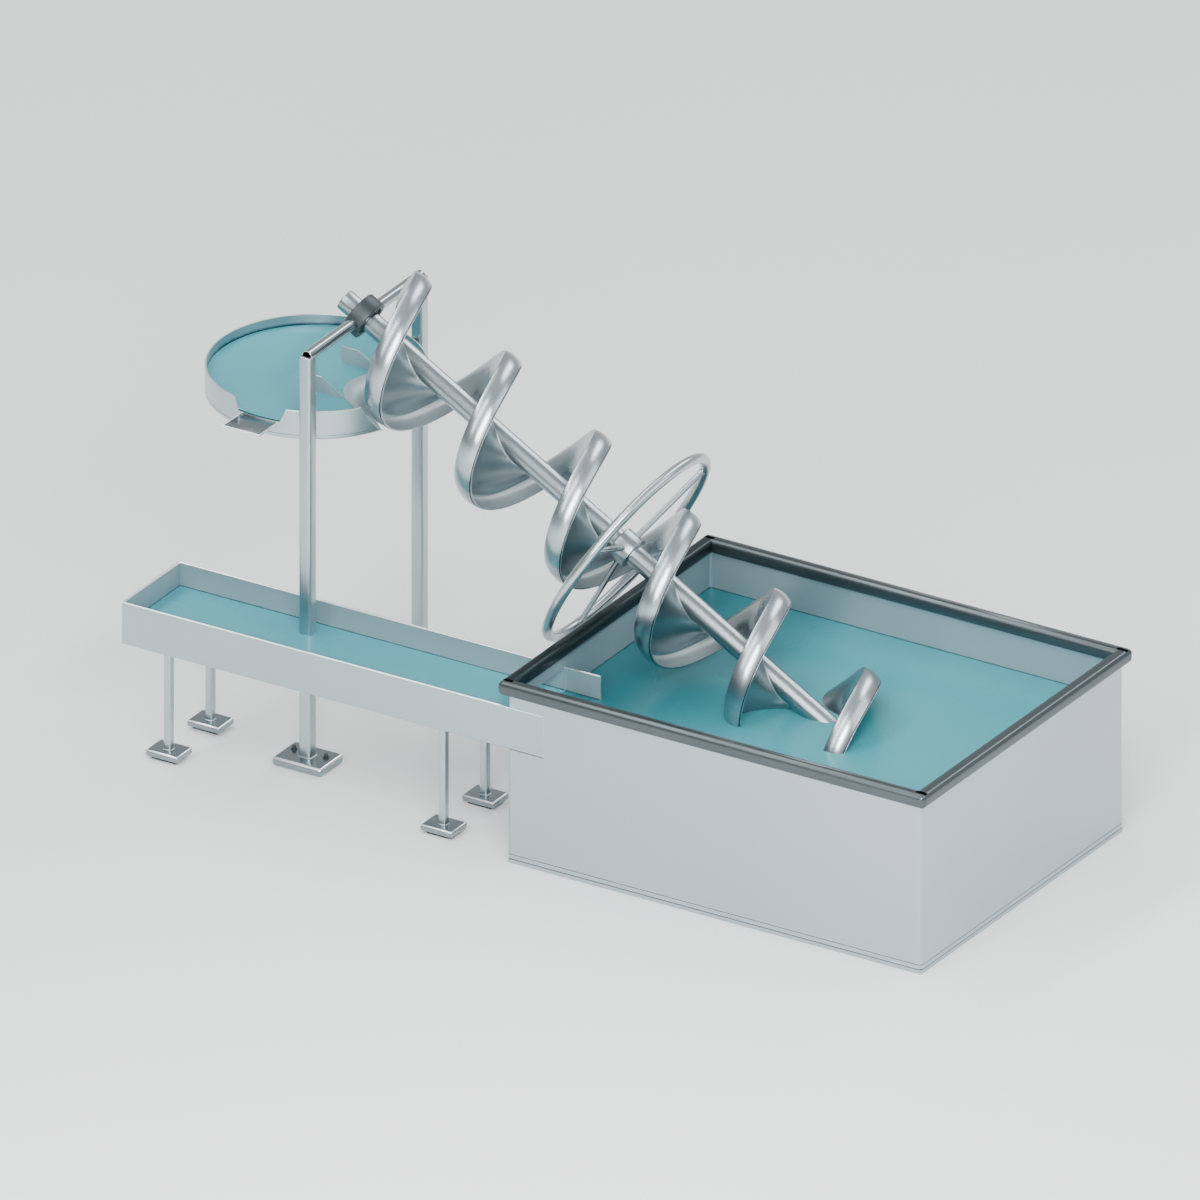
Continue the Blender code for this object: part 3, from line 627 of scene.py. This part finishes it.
def buildTrough():
    section = troughSection()
    rings = [[(x, y, z) for y, z in section] for x in (troughLow.x, troughHigh.x)]
    channel = addPiece("trough_channel", loftMesh(rings, capEnds=True), (sheetSteel, shadedInsideSteel, highlightEdgeSteel),
                       ("trough_floor", "trough_side_front", "trough_side_back"))
    skin = trough["sheet"] - near
    # the inside faces get the darker, bluer copy: painted shade and painted water reflection
    paintFaces(channel, 1, lambda centre, normal: troughLow.y + skin < centre.y < troughHigh.y - skin
               and centre.z > troughLow.z + skin)
    # the sheet's top faces and the mouth's end in near white steel: a painted highlight
    paintFaces(channel, 2, lambda centre, normal: centre.z > troughHigh.z - trough["edge"] * 1.1
               or centre.x > troughHigh.x - near / 10)
    # the front post passes through the floor
    postLow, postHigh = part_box("post_front")
    gap = Vector((trough["passageGap"], trough["passageGap"], 0.0))
    low = Vector((postLow.x, postLow.y, troughLow.z - 2 * past)) - gap
    high = Vector((postHigh.x, postHigh.y, troughLow.z + 2 * past)) + gap
    middle = (low + high) / 2
    passage = tubeMesh(middle.x, middle.y, high.x - low.x, trough["passageRounding"],
                       ((low.z, 0.0), (high.z, 0.0)))
    carve(channel, cutterObject(passage))
    low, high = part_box("trough_end")
    low.z = troughLow.z + trough["endLift"]
    plate = addPiece("trough_end_plate", boxMesh(low, high, trough["edge"], 2),
                     (sheetSteel, shadedInsideSteel, highlightEdgeSteel), ("trough_end",))
    # the end's inner face in the shaded copy, its top in near white steel: painted shade and painted highlight
    paintFaces(plate, 1, lambda centre, normal: normal.x > 0.9)
    paintFaces(plate, 2, lambda centre, normal: normal.z > 0.3)


def addBead(name, first, last, width, rise, steps=8):
    # a half round edge from one point to another, along X, Y or Z, in near white steel as a painted highlight
    along = (Vector(last) - Vector(first)).normalized()
    side = Vector((0.0, 0.0, 1.0)).cross(along) if abs(along.z) < 0.5 else Vector((0.0, 1.0, 0.0))
    up = along.cross(side)
    rings = []
    for end in (first, last):
        ring = []
        for step in range(steps + 1):
            angle = math.radians(180.0 * step / steps)
            ring.append(Vector(end) + side * math.cos(angle) * width / 2 + up * math.sin(angle) * rise)
        rings.append(ring)
    addPiece(name, loftMesh(rings, capEnds=True), highlightEdgeSteel, sharpAngle=60.0)


def buildTroughEdges():
    top = troughHigh.z - trough["beadSunk"]
    half = trough["sheet"] / 2
    width, rise = trough["beadWidth"], trough["beadRise"]
    left, right = troughLow.x + half, troughHigh.x
    front, back = troughLow.y + half, troughHigh.y - half
    atRail, pastRail = tankLow.x - trough["beadToRail"], tankLow.x + trough["beadFromRail"]
    mouth, wallInside = right - trough["beadSunk"], tankLow.x + tank["sheet"]
    for name, first, last in (
            ("trough_edge_front", (left, front, top), (atRail, front, top)),
            ("trough_edge_back", (left, back, top), (atRail, back, top)),
            ("trough_edge_end", (left, front, top), (left, back, top)),
            ("trough_edge_mouth", (pastRail, back, top), (right - half, back, top)),
            ("trough_edge_mouth_end", (mouth, back, troughLow.z + trough["mouthFoot"]),
             (mouth, back, top + rise * 0.6)),
            ("tank_opening_edge", (wallInside, back - half, waterLevel - trough["openingFoot"]),
             (wallInside, back - half, top))):
        addBead(name, first, last, width, rise)


def weldRing(name, x, y, height, width, bead):
    # a fillet weld round the foot of a square tube, closed inside the tube's wall
    corners = [(0.0, bead), (-weld["inWall"], bead), (-weld["inWall"], 0.0), (bead, 0.0)]
    for step in range(1, 5):
        angle = math.radians(90.0 * step / 5)
        corners.append((bead * (1.0 - math.sin(angle)), bead * (1.0 - math.cos(angle))))
    rings = []
    for reach, rise in corners:
        outer = width + 2 * reach
        rings.append(levelRing(x, y, height + rise, outer, outer, weld["rounding"] + reach))
    addPiece(name, loftMesh(rings, closeAlong=True), weldSteel, sharpAngle=60.0)


def addPlate(name, mesh, replaced=()):
    # a foot plate in the darker plate steel, painted shade for its top, with its upper rounded rim in near
    # white steel, a painted highlight
    plate = addPiece(name, mesh, (shadedPlateSteel, highlightEdgeSteel), replaced, sharpAngle=60.0)
    paintFaces(plate, 1, lambda centre, normal: 0.25 < normal.z < 0.93)


def blockMesh(x, y, size, bottom, rounding, segments):
    # a rounded block round x, y that stands on the height bottom
    half, centre = Vector((size[0] / 2, size[1] / 2, 0.0)), Vector((x, y, 0.0))
    return boxMesh(centre - half + Vector((0, 0, bottom)), centre + half + Vector((0, 0, bottom + size[2])),
                   rounding, segments)


def buildLeg(name):
    low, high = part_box(name)
    x, y = (low.x + high.x) / 2, (low.y + high.y) / 2
    padTop = leg["pad"][2]
    plateTop = padTop + leg["plate"][2]
    levels = ((plateTop - leg["intoPlate"], 0.0), (high.z + leg["intoTrough"], 0.0))
    mesh = tubeMesh(x, y, leg["width"], leg["rounding"], levels)
    addPiece(name + "_tube", mesh, tubeSteel, (name,))
    addPlate(name + "_plate", blockMesh(x, y, leg["plate"], padTop, leg["plateRounding"], 4))
    mesh = blockMesh(x, y, leg["pad"], 0.0, leg["padRounding"], 2)
    addPiece(name + "_pad", mesh, bearingGrey)
    weldRing(name + "_weld", x, y, plateTop, leg["width"], leg["bead"])


buildTrough()
buildTroughEdges()
for depthName in ("front", "back"):
    for sideName in ("left", "right"):
        buildLeg("trough_leg_%s_%s" % (depthName, sideName))
print("trough built")


# Posts, crossbeam and upper bearing

post = {"width": 0.034, "rounding": 0.007, "intoPlate": 0.003, "topRounding": 0.0035, "baseRounding": 0.008,
        "bead": 0.003, "studRadius": 0.0052, "studHeight": 0.0105, "studAlong": 0.047, "studIn": 0.012,
        "washerReach": 1.7, "washerHeight": 0.0016, "studRounding": 0.001, "studSunk": 0.002}
beam = {"radius": 0.015, "bore": 0.0122, "lip": 0.0006, "depth": 0.20, "steps": 64, "inner": 0.030,
        "saddleGap": 0.0002, "saddleHalf": 0.05, "endGap": 0.0003}


def buildPost(side, sign):
    low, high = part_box("post_" + side)
    x, y = (low.x + high.x) / 2, (low.y + high.y) / 2
    levels = [(low.z - post["intoPlate"], 0.0)] + roundedEnd(high.z, post["topRounding"])
    mesh = tubeMesh(x, y, post["width"], post["rounding"], levels)
    tube = addPiece("post_%s_tube" % side, mesh, tubeSteel, ("post_" + side,), sharpAngle=50.0)
    # the saddle in which the crossbeam lies
    beamLow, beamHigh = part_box("crossbeam_" + side)
    reach = max(abs(beamLow.y), abs(beamHigh.y)) + beam["endGap"]
    half = beam["saddleHalf"]
    saddle = rodMesh(beam["radius"] + beam["saddleGap"], -half, half, beam["steps"])
    lieDown = Matrix.Rotation(math.radians(90.0), 4, "X")
    carve(tube, cutterObject(saddle, Matrix.Translation((x, sign * (reach - half), high.z)) @ lieDown))
    low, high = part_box("post_base_" + side)
    addPlate("post_%s_base_plate" % side, boxMesh(low, high, post["baseRounding"], 5), ("post_base_" + side,))
    weldRing("post_%s_weld" % side, x, y, high.z, post["width"], post["bead"])
    for end, endSign in (("left", -1.0), ("right", 1.0)):
        buildStud("post_%s_stud_%s" % (side, end), x + endSign * post["studAlong"], y + post["studIn"], high.z)


def buildStud(name, x, y, height):
    radius, top, rounding = post["studRadius"], post["studHeight"], post["studRounding"]
    washer = radius * post["washerReach"]
    profile = [(0.0, -post["studSunk"]), (washer, -post["studSunk"]), (washer, post["washerHeight"]),
               (radius, post["washerHeight"] + 0.0004)]
    profile += roundCorner((radius - rounding, top - rounding), rounding, 0.0, 90.0)
    profile.append((0.0, top))
    addPiece(name, turnedMesh(profile, 24, False), bearingGrey,
             place=Matrix.Translation((x, y, height)))


def buildBeam(side, sign):
    low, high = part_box("crossbeam_" + side)
    inner, outer = beam["inner"], max(abs(low.y), abs(high.y))
    radius, bore, lip = beam["radius"], beam["bore"], beam["lip"]
    profile = [(0.0, inner), (radius, inner), (radius, outer - lip), (radius - lip, outer), (bore + lip, outer),
               (bore, outer - lip), (bore, outer - beam["depth"]), (0.0, outer - beam["depth"])]
    turn = Matrix.Rotation(math.radians(-90.0 * sign), 4, "X")
    place = Matrix.Translation((bearingCentre.x, 0.0, bearingCentre.z)) @ turn
    tube = addPiece("crossbeam_%s_tube" % side, turnedMesh(profile, beam["steps"], False),
                    (brightSteel, recessShadeBlack), ("crossbeam_" + side,), place)
    # the bore's inside is flat black: painted shade
    paintFaces(tube, 1, lambda centre, normal: outer - near > abs(centre.y) > 0.05
               and math.hypot(centre.x - bearingCentre.x, centre.z - bearingCentre.z) < bore + near / 2)


bearing = {"radius": 0.055, "length": 0.043, "bore": 0.0286, "chamfer": 0.003, "recess": 0.005,
           "recessRadius": 0.040, "collar": 0.004, "steps": 96}


def buildBearing():
    half, depth = bearing["length"] / 2, bearing["recess"]
    radius, chamfer, bore = bearing["radius"], bearing["chamfer"], bearing["bore"]
    upper = roundCorner((radius - chamfer, half - chamfer), chamfer, 0.0, 90.0)
    upper += [(bearing["recessRadius"] + 0.001, half), (bearing["recessRadius"], half - 0.001),
              (bearing["recessRadius"], half - depth), (bore + bearing["collar"], half - depth),
              (bore + 0.003, half - 0.002), (bore + 0.0008, half - 0.002), (bore, half - 0.003)]
    lower = [(r, -z) for r, z in reversed(upper)]
    addPiece("upper_bearing_housing", turnedMesh(upper + lower, bearing["steps"]), bearingGrey,
             ("upper_bearing",), screwFrame)


for sideName, sideSign in (("front", -1.0), ("back", 1.0)):
    buildPost(sideName, sideSign)
    buildBeam(sideName, sideSign)
buildBearing()
dressNode("lower_bearing", bearingGrey)
dressNode("lower_bearing_stand", railSteel)
print("posts built")


# Screw: shaft, flight and handwheel, all in the screw's own frame

shaft = {"radius": 0.028, "start": -0.066, "end": 1.9375, "edge": 0.003, "steps": 96, "rows": 60}
flight = {"radius": 0.176, "pitch": 0.305, "turns": 5.8, "firstAngle": math.radians(-38.95),
          "firstStation": 0.0509, "lip": 0.057, "crown": 0.0063, "corner": 0.003, "hollow": 0.0245,
          "footOffset": 0.024, "footRadius": 0.0285, "webBend": 0.095, "sheet": 0.004, "groove": 0.0016,
          "roll": 0.0026, "stepsPerTurn": 96, "bead": 0.0035, "beadSunk": 0.0008, "hubGap": 0.0003,
          "hubHalf": 0.03}
wheel = {"station": 0.8915, "radius": 0.2925, "tube": 0.01375, "hubRadius": 0.042, "hubLength": 0.052,
         "chamfer": 0.003, "spokeRadius": 0.0075, "spokeFlare": 1.15, "spokeAngles": (-57.0, -177.0, 63.0),
         "steps": 144}


def buildShaft():
    radius, edge = shaft["radius"], shaft["edge"]
    start, first, last = shaft["start"], shaft["start"] + edge, shaft["end"] - edge
    profile = [(0.0, start + 0.006), (0.004, start + 0.002), (0.0045, start)]  # the centre hole in its end
    profile += roundCorner((radius - edge, first), edge, 270.0, 360.0)
    for row in range(1, shaft["rows"]):  # short faces, because very long ones render grainy
        profile.append((radius, first + (last - first) * row / shaft["rows"]))
    profile += roundCorner((radius - edge, last), edge, 0.0, 90.0)
    profile.append((0.0, shaft["end"]))
    addPiece("screw_shaft_turned", turnedMesh(profile, shaft["steps"], False), shaftSteel,
             ("screw_shaft",), screwFrame, body="rotor")


def bendLine(first, middle, last, steps):
    # points along a smooth bend from first to last, drawn towards middle
    points = []
    for step in range(steps + 1):
        share = step / steps
        weights = ((1.0 - share) ** 2, 2.0 * share * (1.0 - share), share ** 2)
        points.append([sum(w * p[axis] for w, p in zip(weights, (first, middle, last))) for axis in (0, 1)])
    return points


def lipRadius(station):
    # the lip's outside is crowned across its width
    return flight["radius"] - flight["crown"] * (2.0 * station / flight["lip"]) ** 2


def flightSection():
    # closed outline of the flight, as radius and station along the shaft; then the first points
    # of the groove beside the rolled edge and of the hollow side
    half, sheet, corner = flight["lip"] / 2, flight["sheet"], flight["corner"]
    edge = flight["radius"] - flight["crown"]
    foot, offset, hollow = flight["footRadius"], flight["footOffset"], flight["hollow"]
    outline = bendLine((foot, offset - sheet / 2), (flight["webBend"], -half), (edge - hollow, -half), 14)
    outline += roundCorner((edge - corner + 0.001, corner - half), corner, 270.0, 350.0, 4)
    grooveStart = half - flight["roll"] - flight["groove"]
    for step in range(1, 19):
        station = corner - half + (grooveStart - corner + half) * step / 18
        outline.append((lipRadius(station), station))
    groove = len(outline) - 1
    outline += [(edge - 0.001, grooveStart + 0.0003), (edge - 0.001, half - flight["roll"] - 0.0003)]
    rollRadius = flight["roll"] / 2
    for step in range(7):
        angle = math.radians(180.0 * step / 6)
        outline.append((edge - rollRadius + rollRadius * math.sin(angle) * 1.3,
                        half - rollRadius - rollRadius * math.cos(angle)))
    hollowStart = len(outline)
    outline.append((edge - sheet, half - 0.001))
    for step in range(1, 9):
        station = (half - 0.001) * (1.0 - step / 8)
        outline.append((lipRadius(station) - sheet, station))
    top = flight["radius"] - sheet
    outline += roundCorner((top - hollow, 0.0), hollow, 360.0, 270.0, 10)[1:]
    front = bendLine((top - hollow, sheet - half), (flight["webBend"], sheet - half),
                     (foot, offset + sheet / 2), 14)
    return outline + front[1:], groove, hollowStart


def helixRings(section, turns, stepsPerTurn):
    rings = []
    count = round(turns * stepsPerTurn)
    for step in range(count + 1):
        share = turns * step / count
        angle = flight["firstAngle"] + math.tau * share
        rise = flight["firstStation"] + flight["pitch"] * share
        rings.append([(r * math.cos(angle), r * math.sin(angle), z + rise) for r, z in section])
    return rings


def buildFlight():
    section, groove, hollowStart = flightSection()
    rings = helixRings(section, flight["turns"], flight["stepsPerTurn"])
    piece = addPiece("screw_flight", loftMesh(rings, capEnds=True),
                     (flightSteel, seamAndShadeSteel, shadedHollowSteel, litLipSteel),
                     tuple("flight_turn_%d" % turn for turn in range(1, 7)), screwFrame, 50.0, "rotor")
    for face in piece.data.polygons:
        column = face.index % len(section)
        if face.index >= len(section) * (len(rings) - 1):
            continue  # the two ends
        # the groove beside the rolled edge is near black, as painted shade in the crease; the hollow gets its
        # shaded copy, the lip's inside its lighter copy
        if groove <= column < groove + 3:
            face.material_index = 1
        elif column >= hollowStart:
            face.material_index = 3 if column < hollowStart + 13 else 2
    hub = rodMesh(wheel["hubRadius"] + flight["hubGap"], -flight["hubHalf"], flight["hubHalf"], 96)
    carve(piece, cutterObject(hub, screwFrame @ Matrix.Translation((0.0, 0.0, wheel["station"]))))
    centre = (shaft["radius"] - flight["beadSunk"], flight["footOffset"])
    ring = roundCorner(centre, flight["bead"], 0.0, 330.0, 11)
    mesh = loftMesh(helixRings(ring, flight["turns"], 64), capEnds=True)
    addPiece("screw_flight_weld", mesh, weldSteel, (), screwFrame, 60.0, "rotor")


def buildWheel():
    place = screwFrame @ Matrix.Translation((0.0, 0.0, wheel["station"]))
    ring = roundCorner((wheel["radius"], 0.0), wheel["tube"], 0.0, 345.0, 23)
    addPiece("wheel_rim_tube", turnedMesh(ring, wheel["steps"]), wheelSteel,
             ("wheel_rim",), place, body="rotor")
    half, radius, chamfer = wheel["hubLength"] / 2, wheel["hubRadius"], wheel["chamfer"]
    upper = roundCorner((radius - chamfer, half - chamfer), chamfer, 0.0, 90.0)
    upper.append((shaft["radius"] - 0.001, half))
    profile = upper + [(r, -z) for r, z in reversed(upper)]
    addPiece("wheel_hub", turnedMesh(profile, 96), shaftSteel,
             ("wheel_hub_and_spokes",), place, body="rotor")
    start, end = radius - 0.004, wheel["radius"] - wheel["tube"] + 0.003
    thick, flare = wheel["spokeRadius"], wheel["spokeRadius"] * wheel["spokeFlare"]
    profile = [(0.0, start), (flare, start), (flare, radius + 0.0003), (thick, radius + 0.002),
               (thick, end - 0.006), (flare, end - 0.002), (flare, end), (0.0, end)]
    for index, degrees in enumerate(wheel["spokeAngles"]):
        outward = Matrix.Rotation(math.radians(degrees), 4, "Z") @ Matrix.Rotation(math.radians(90.0), 4, "Y")
        addPiece("wheel_spoke_%d" % (index + 1), turnedMesh(profile, 32, False), wheelSteel,
                 place=place @ outward, sharpAngle=50.0, body="rotor")


buildShaft()
buildFlight()
buildWheel()
print("screw built")


# Basin

basin = {"sheet": 0.004, "floor": 0.010, "floorRounding": 0.0035, "edge": 0.0010, "steps": 192, "seam": 0.0012,
         "seamDeep": 0.0008, "notchTop": 0.152, "notchBottom": 0.122, "notchOver": 0.02, "sill": 0.935,
         "passage": 0.1875, "passageReach": (-0.15, 0.75), "cradleInner": 0.1835, "cradleReach": (-0.05, 0.36),
         "weir": 0.0035, "beadHalf": 0.0018, "beadSunk": 0.0006, "spoutUnder": 0.004}
wallRadius = max(abs(corner.y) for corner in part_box("basin_floor"))
basinCentre = Vector((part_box("basin_wall_left")[0].x + wallRadius, 0.0, 0.0))


def passageCutter(index=0):
    # the room that the turning screw needs
    return cutterObject(rodMesh(basin["passage"], *basin["passageReach"], basin["steps"]), screwFrame, index)


def buildBasin():
    low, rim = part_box("basin_floor")[0].z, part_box("basin_wall_left")[1].z
    radius, sheet, edge, seam = wallRadius, basin["sheet"], basin["edge"], basin["seam"]
    seamRadius, rounding, floorTop = radius - basin["seamDeep"], basin["floorRounding"], low + basin["floor"]
    place = Matrix.Translation(basinCentre)
    profile = [(0.0, low)] + roundCorner((radius - rounding, low + rounding), rounding, 270.0, 360.0)
    profile += [(radius, floorTop - seam / 2), (seamRadius, floorTop), (0.0, floorTop)]
    floor = addPiece("basin_floor_disc", turnedMesh(profile, basin["steps"], False), (tubeSteel, seamAndShadeSteel),
                     ("basin_floor",), place)
    paintFaces(floor, 1, lambda centre, normal: floorTop - seam < centre.z < floorTop - near / 10)
    carve(floor, passageCutter())
    bottom = floorTop + 0.0002
    profile = [(seamRadius, bottom), (radius, bottom + seam / 2), (radius, rim - edge), (radius - edge, rim),
               (radius - sheet + edge, rim), (radius - sheet, rim - edge), (radius - sheet, bottom)]
    wall = addPiece("basin_wall", turnedMesh(profile, basin["steps"]), (tubeSteel, shadedBasinSteel, highlightEdgeSteel),
                    ("basin_wall_back", "basin_wall_left", "basin_wall_front"), place)
    inside = radius - sheet + near / 2
    # the inside faces in the shaded copy: painted shade
    paintFaces(wall, 1, lambda centre, normal: (centre - basinCentre).to_2d().length < inside)
    # the rim's top in near white steel: a painted highlight
    paintFaces(wall, 2, lambda centre, normal: centre.z > rim - edge * 0.9)
    carve(wall, passageCutter())
    # the notch over the spout
    reach = rim - basin["sill"] + basin["notchOver"]
    taper = (basin["notchTop"] - basin["notchBottom"]) / 2 / (rim - basin["sill"])
    halfLow, halfHigh = basin["notchBottom"] / 2, basin["notchBottom"] / 2 + taper * reach
    corners = ((-halfLow, 0.0), (halfLow, 0.0), (halfHigh, reach), (-halfHigh, reach))
    rings = [[(basinCentre.x + x, y, basin["sill"] + z) for x, z in corners]
             for y in (-radius - 0.05, -radius + 0.08)]
    # the notch's cut faces in near white steel: a painted highlight
    carve(wall, cutterObject(loftMesh(rings, capEnds=True), index=2))


def buildSpout():
    low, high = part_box("spout_lip")
    mesh = boxMesh(low, high + Vector((0.0, basin["spoutUnder"], 0.0)), 0.0008, 2)
    spout = addPiece("spout_plate", mesh, (shadedPlateSteel, highlightEdgeSteel), ("spout_lip",))
    # the spout's top in the darker plate steel, all its other faces in near white steel: painted shade and
    # painted highlight
    paintFaces(spout, 1, lambda centre, normal: normal.z < 0.9)
    half, top = basin["beadHalf"], high.z - basin["beadSunk"]
    for name, first, last in (
            ("spout_edge_front", (low.x, low.y + half, top), (high.x, low.y + half, top)),
            ("spout_edge_left", (low.x + half, low.y, top), (low.x + half, high.y, top)),
            ("spout_edge_right", (high.x - half, low.y, top), (high.x - half, high.y, top))):
        addBead(name, first, last, half * 2, half)


def buildCradle():
    inner, outer, (start, end) = basin["cradleInner"], basin["passage"], basin["cradleReach"]
    mesh = turnedMesh(((inner, start), (outer, start), (outer, end), (inner, end)), 192)
    cradle = addPiece("cradle_shell", mesh, plainSteel, ("screw_cradle",), screwFrame)
    low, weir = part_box("basin_floor")[0].z, basinLevel + basin["weir"]
    body = rodMesh(wallRadius, low, weir, basin["steps"])
    carve(cradle, cutterObject(body, Matrix.Translation(basinCentre)), "INTERSECT")
    for name in ("cheek_front", "cheek_back"):
        low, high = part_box(name)
        cheek = addPiece(name + "_plate", boxMesh(low, high, 0.0006, 2), (plainSteel, highlightEdgeSteel),
                         (name,))
        # the cheek's top, and the faces cut by the passage, in near white steel: a painted highlight
        paintFaces(cheek, 1, lambda centre, normal: centre.z > high.z - 0.0007)
        carve(cheek, passageCutter(1))


buildBasin()
buildSpout()
buildCradle()
print("basin built")


# Still water

water = {"depth": 0.003, "climb": 0.0008, "swells": ((0.00025, 9.0, 4.0), (0.0002, -5.0, 13.0)),
         "tankCells": (60, 48), "troughCells": (60, 14)}


def waterSlab(low, high, level, cells):
    # a thin sheet of water that climbs a little at its walls, with a slight swell
    across = high - low
    shape = bmesh.new()
    tops = []
    for row in range(cells[1] + 1):
        line = []
        for column in range(cells[0] + 1):
            x = low.x + across.x * column / cells[0]
            y = low.y + across.y * row / cells[1]
            wall = row in (0, cells[1]) or column in (0, cells[0])
            swell = sum(rise * math.sin(alongX * x + alongY * y) for rise, alongX, alongY in water["swells"])
            line.append(shape.verts.new((x, y, level + (water["climb"] if wall else swell))))
        tops.append(line)
    for lower, upper in zip(tops, tops[1:]):
        for index in range(cells[0]):
            shape.faces.new((lower[index], lower[index + 1], upper[index + 1], upper[index]))
    rim = tops[0] + [line[-1] for line in tops[1:-1]] + tops[-1][::-1] + [line[0] for line in tops[-2:0:-1]]
    base = [shape.verts.new((corner.co.x, corner.co.y, level - water["depth"])) for corner in rim]
    for index in range(len(rim)):
        after = (index + 1) % len(rim)
        shape.faces.new((rim[index], rim[after], base[after], base[index]))
    shape.faces.new(base)
    return keepMesh(shape)


def buildWater():
    inset = Vector((tank["sheet"], tank["sheet"], 0.0))
    mesh = waterSlab(tankLow + inset, tankHigh - inset, waterLevel, water["tankCells"])
    addPiece("tank_water", mesh, tankWater)
    low = Vector((troughLow.x + trough["sheet"], troughLow.y + trough["sheet"], 0.0))
    high = Vector((tankLow.x + 0.002, troughHigh.y - trough["sheet"], 0.0))
    addPiece("trough_water", waterSlab(low, high, waterLevel, water["troughCells"]), basinWater)
    radius, bottom = wallRadius - basin["sheet"], basinLevel - water["depth"]
    profile = ((0.0, bottom), (radius, bottom), (radius, basinLevel + water["climb"]),
               (radius - 0.004, basinLevel), (0.0, basinLevel))
    pool = addPiece("basin_water", turnedMesh(profile, 128, False), basinWater,
                    place=Matrix.Translation(basinCentre))
    carve(pool, passageCutter())


buildWater()
print("water built")


# Stage, lights and camera

studio = {"floorColor": (0.86, 0.872, 0.866), "floorReach": 30.0, "worldFront": (0.40, 0.425, 0.435),
          "worldBack": (0.68, 0.71, 0.72), "worldTop": (0.90, 0.92, 0.93), "worldStrength": 0.84,
          "target": Vector((0.0, 0.0, 0.6))}
softboxes = (  # far off, so that like edges shine alike; sizes in radians, the second one along "along"
    {"name": "back", "direction": (0.12, 0.73, 0.67), "along": (0.394, -0.615, 0.683), "distance": 20.0,
     "size": (0.20, 0.80), "power": 1300.0},
    {"name": "front left", "direction": (-0.117, -0.691, 0.715), "along": (0.40, 0.60, 0.69),
     "distance": 20.0, "size": (0.15, 1.0), "power": 1500.0},
    {"name": "front right", "direction": (0.397, -0.774, 0.496), "along": (0.40, 0.60, 0.69),
     "distance": 6.0, "size": (0.15, 0.85), "power": 500.0},
    {"name": "left", "direction": (-0.472, -0.08, 0.878), "along": (0.0, 0.996, 0.09), "distance": 20.0,
     "size": (0.16, 1.4), "power": 2500.0},
    {"name": "right", "direction": (0.80, 0.15, 0.58), "along": (0.0, 1.0, 0.0), "distance": 4.5,
     "size": (0.7, 0.9), "power": 75.0},
)


def buildStage():
    material, tree, shader = newMaterial("studio floor")
    for label, value in (("Base Color", (*studio["floorColor"], 1.0)), ("Roughness", 0.9),
                         ("Specular IOR Level", 0.1)):
        shader[label].default_value = value
    ends = (-studio["floorReach"], studio["floorReach"])
    mesh = loftMesh([[(x, y, 0.0) for x in ends] for y in ends], closeAround=False)
    mesh.materials.append(material)
    floor = addObject("studio_floor", mesh)


def buildWorld():
    world = bpy.data.worlds.new("studio")
    bpy.context.scene.world = world
    world.use_nodes = True
    tree = world.node_tree
    background = tree.nodes["Background"].inputs
    here = splitPlace(tree, "ShaderNodeTexCoord", "Generated")
    behind = remap(tree, here["Y"], -0.35, 0.55)
    height = remap(tree, here["Z"], 0.55, 1.0)
    sides = mixColors(tree, behind, studio["worldFront"], studio["worldBack"])
    feed(tree, background["Color"], mixColors(tree, height, sides, studio["worldTop"]))
    background["Strength"].default_value = studio["worldStrength"]


def buildLights():
    for box in softboxes:
        data = bpy.data.lights.new(box["name"], "AREA")
        data.shape = "RECTANGLE"
        data.size, data.size_y = (size * box["distance"] for size in box["size"])
        data.energy = box["power"]
        light = addObject(box["name"], data)
        direction = Vector(box["direction"]).normalized()
        across = Vector(box["along"]).cross(direction).normalized()
        turn = Matrix((across, direction.cross(across), direction)).transposed()
        light.location = studio["target"] + direction * box["distance"]
        light.rotation_mode = "QUATERNION"
        light.rotation_quaternion = turn.to_quaternion()


view = {"azimuth": 31.73, "elevation": 26.12, "scale": 3.0, "centre": Vector((-0.6357, 0.9088, 0.0)),
        "distance": 8.0}


def buildCamera():
    azimuth, elevation = math.radians(view["azimuth"]), math.radians(view["elevation"])
    back = Vector((math.sin(azimuth) * math.cos(elevation), -math.cos(azimuth) * math.cos(elevation),
                   math.sin(elevation)))
    data = bpy.data.cameras.new("camera")
    data.type = "ORTHO"
    data.ortho_scale = view["scale"]
    camera = addObject("camera", data)
    camera.location = view["centre"] + back * view["distance"]
    camera.rotation_mode = "QUATERNION"
    camera.rotation_quaternion = (-back).to_track_quat("-Z", "Y")
    bpy.context.scene.camera = camera


buildStage()
buildWorld()
buildLights()
buildCamera()
print("studio ready")
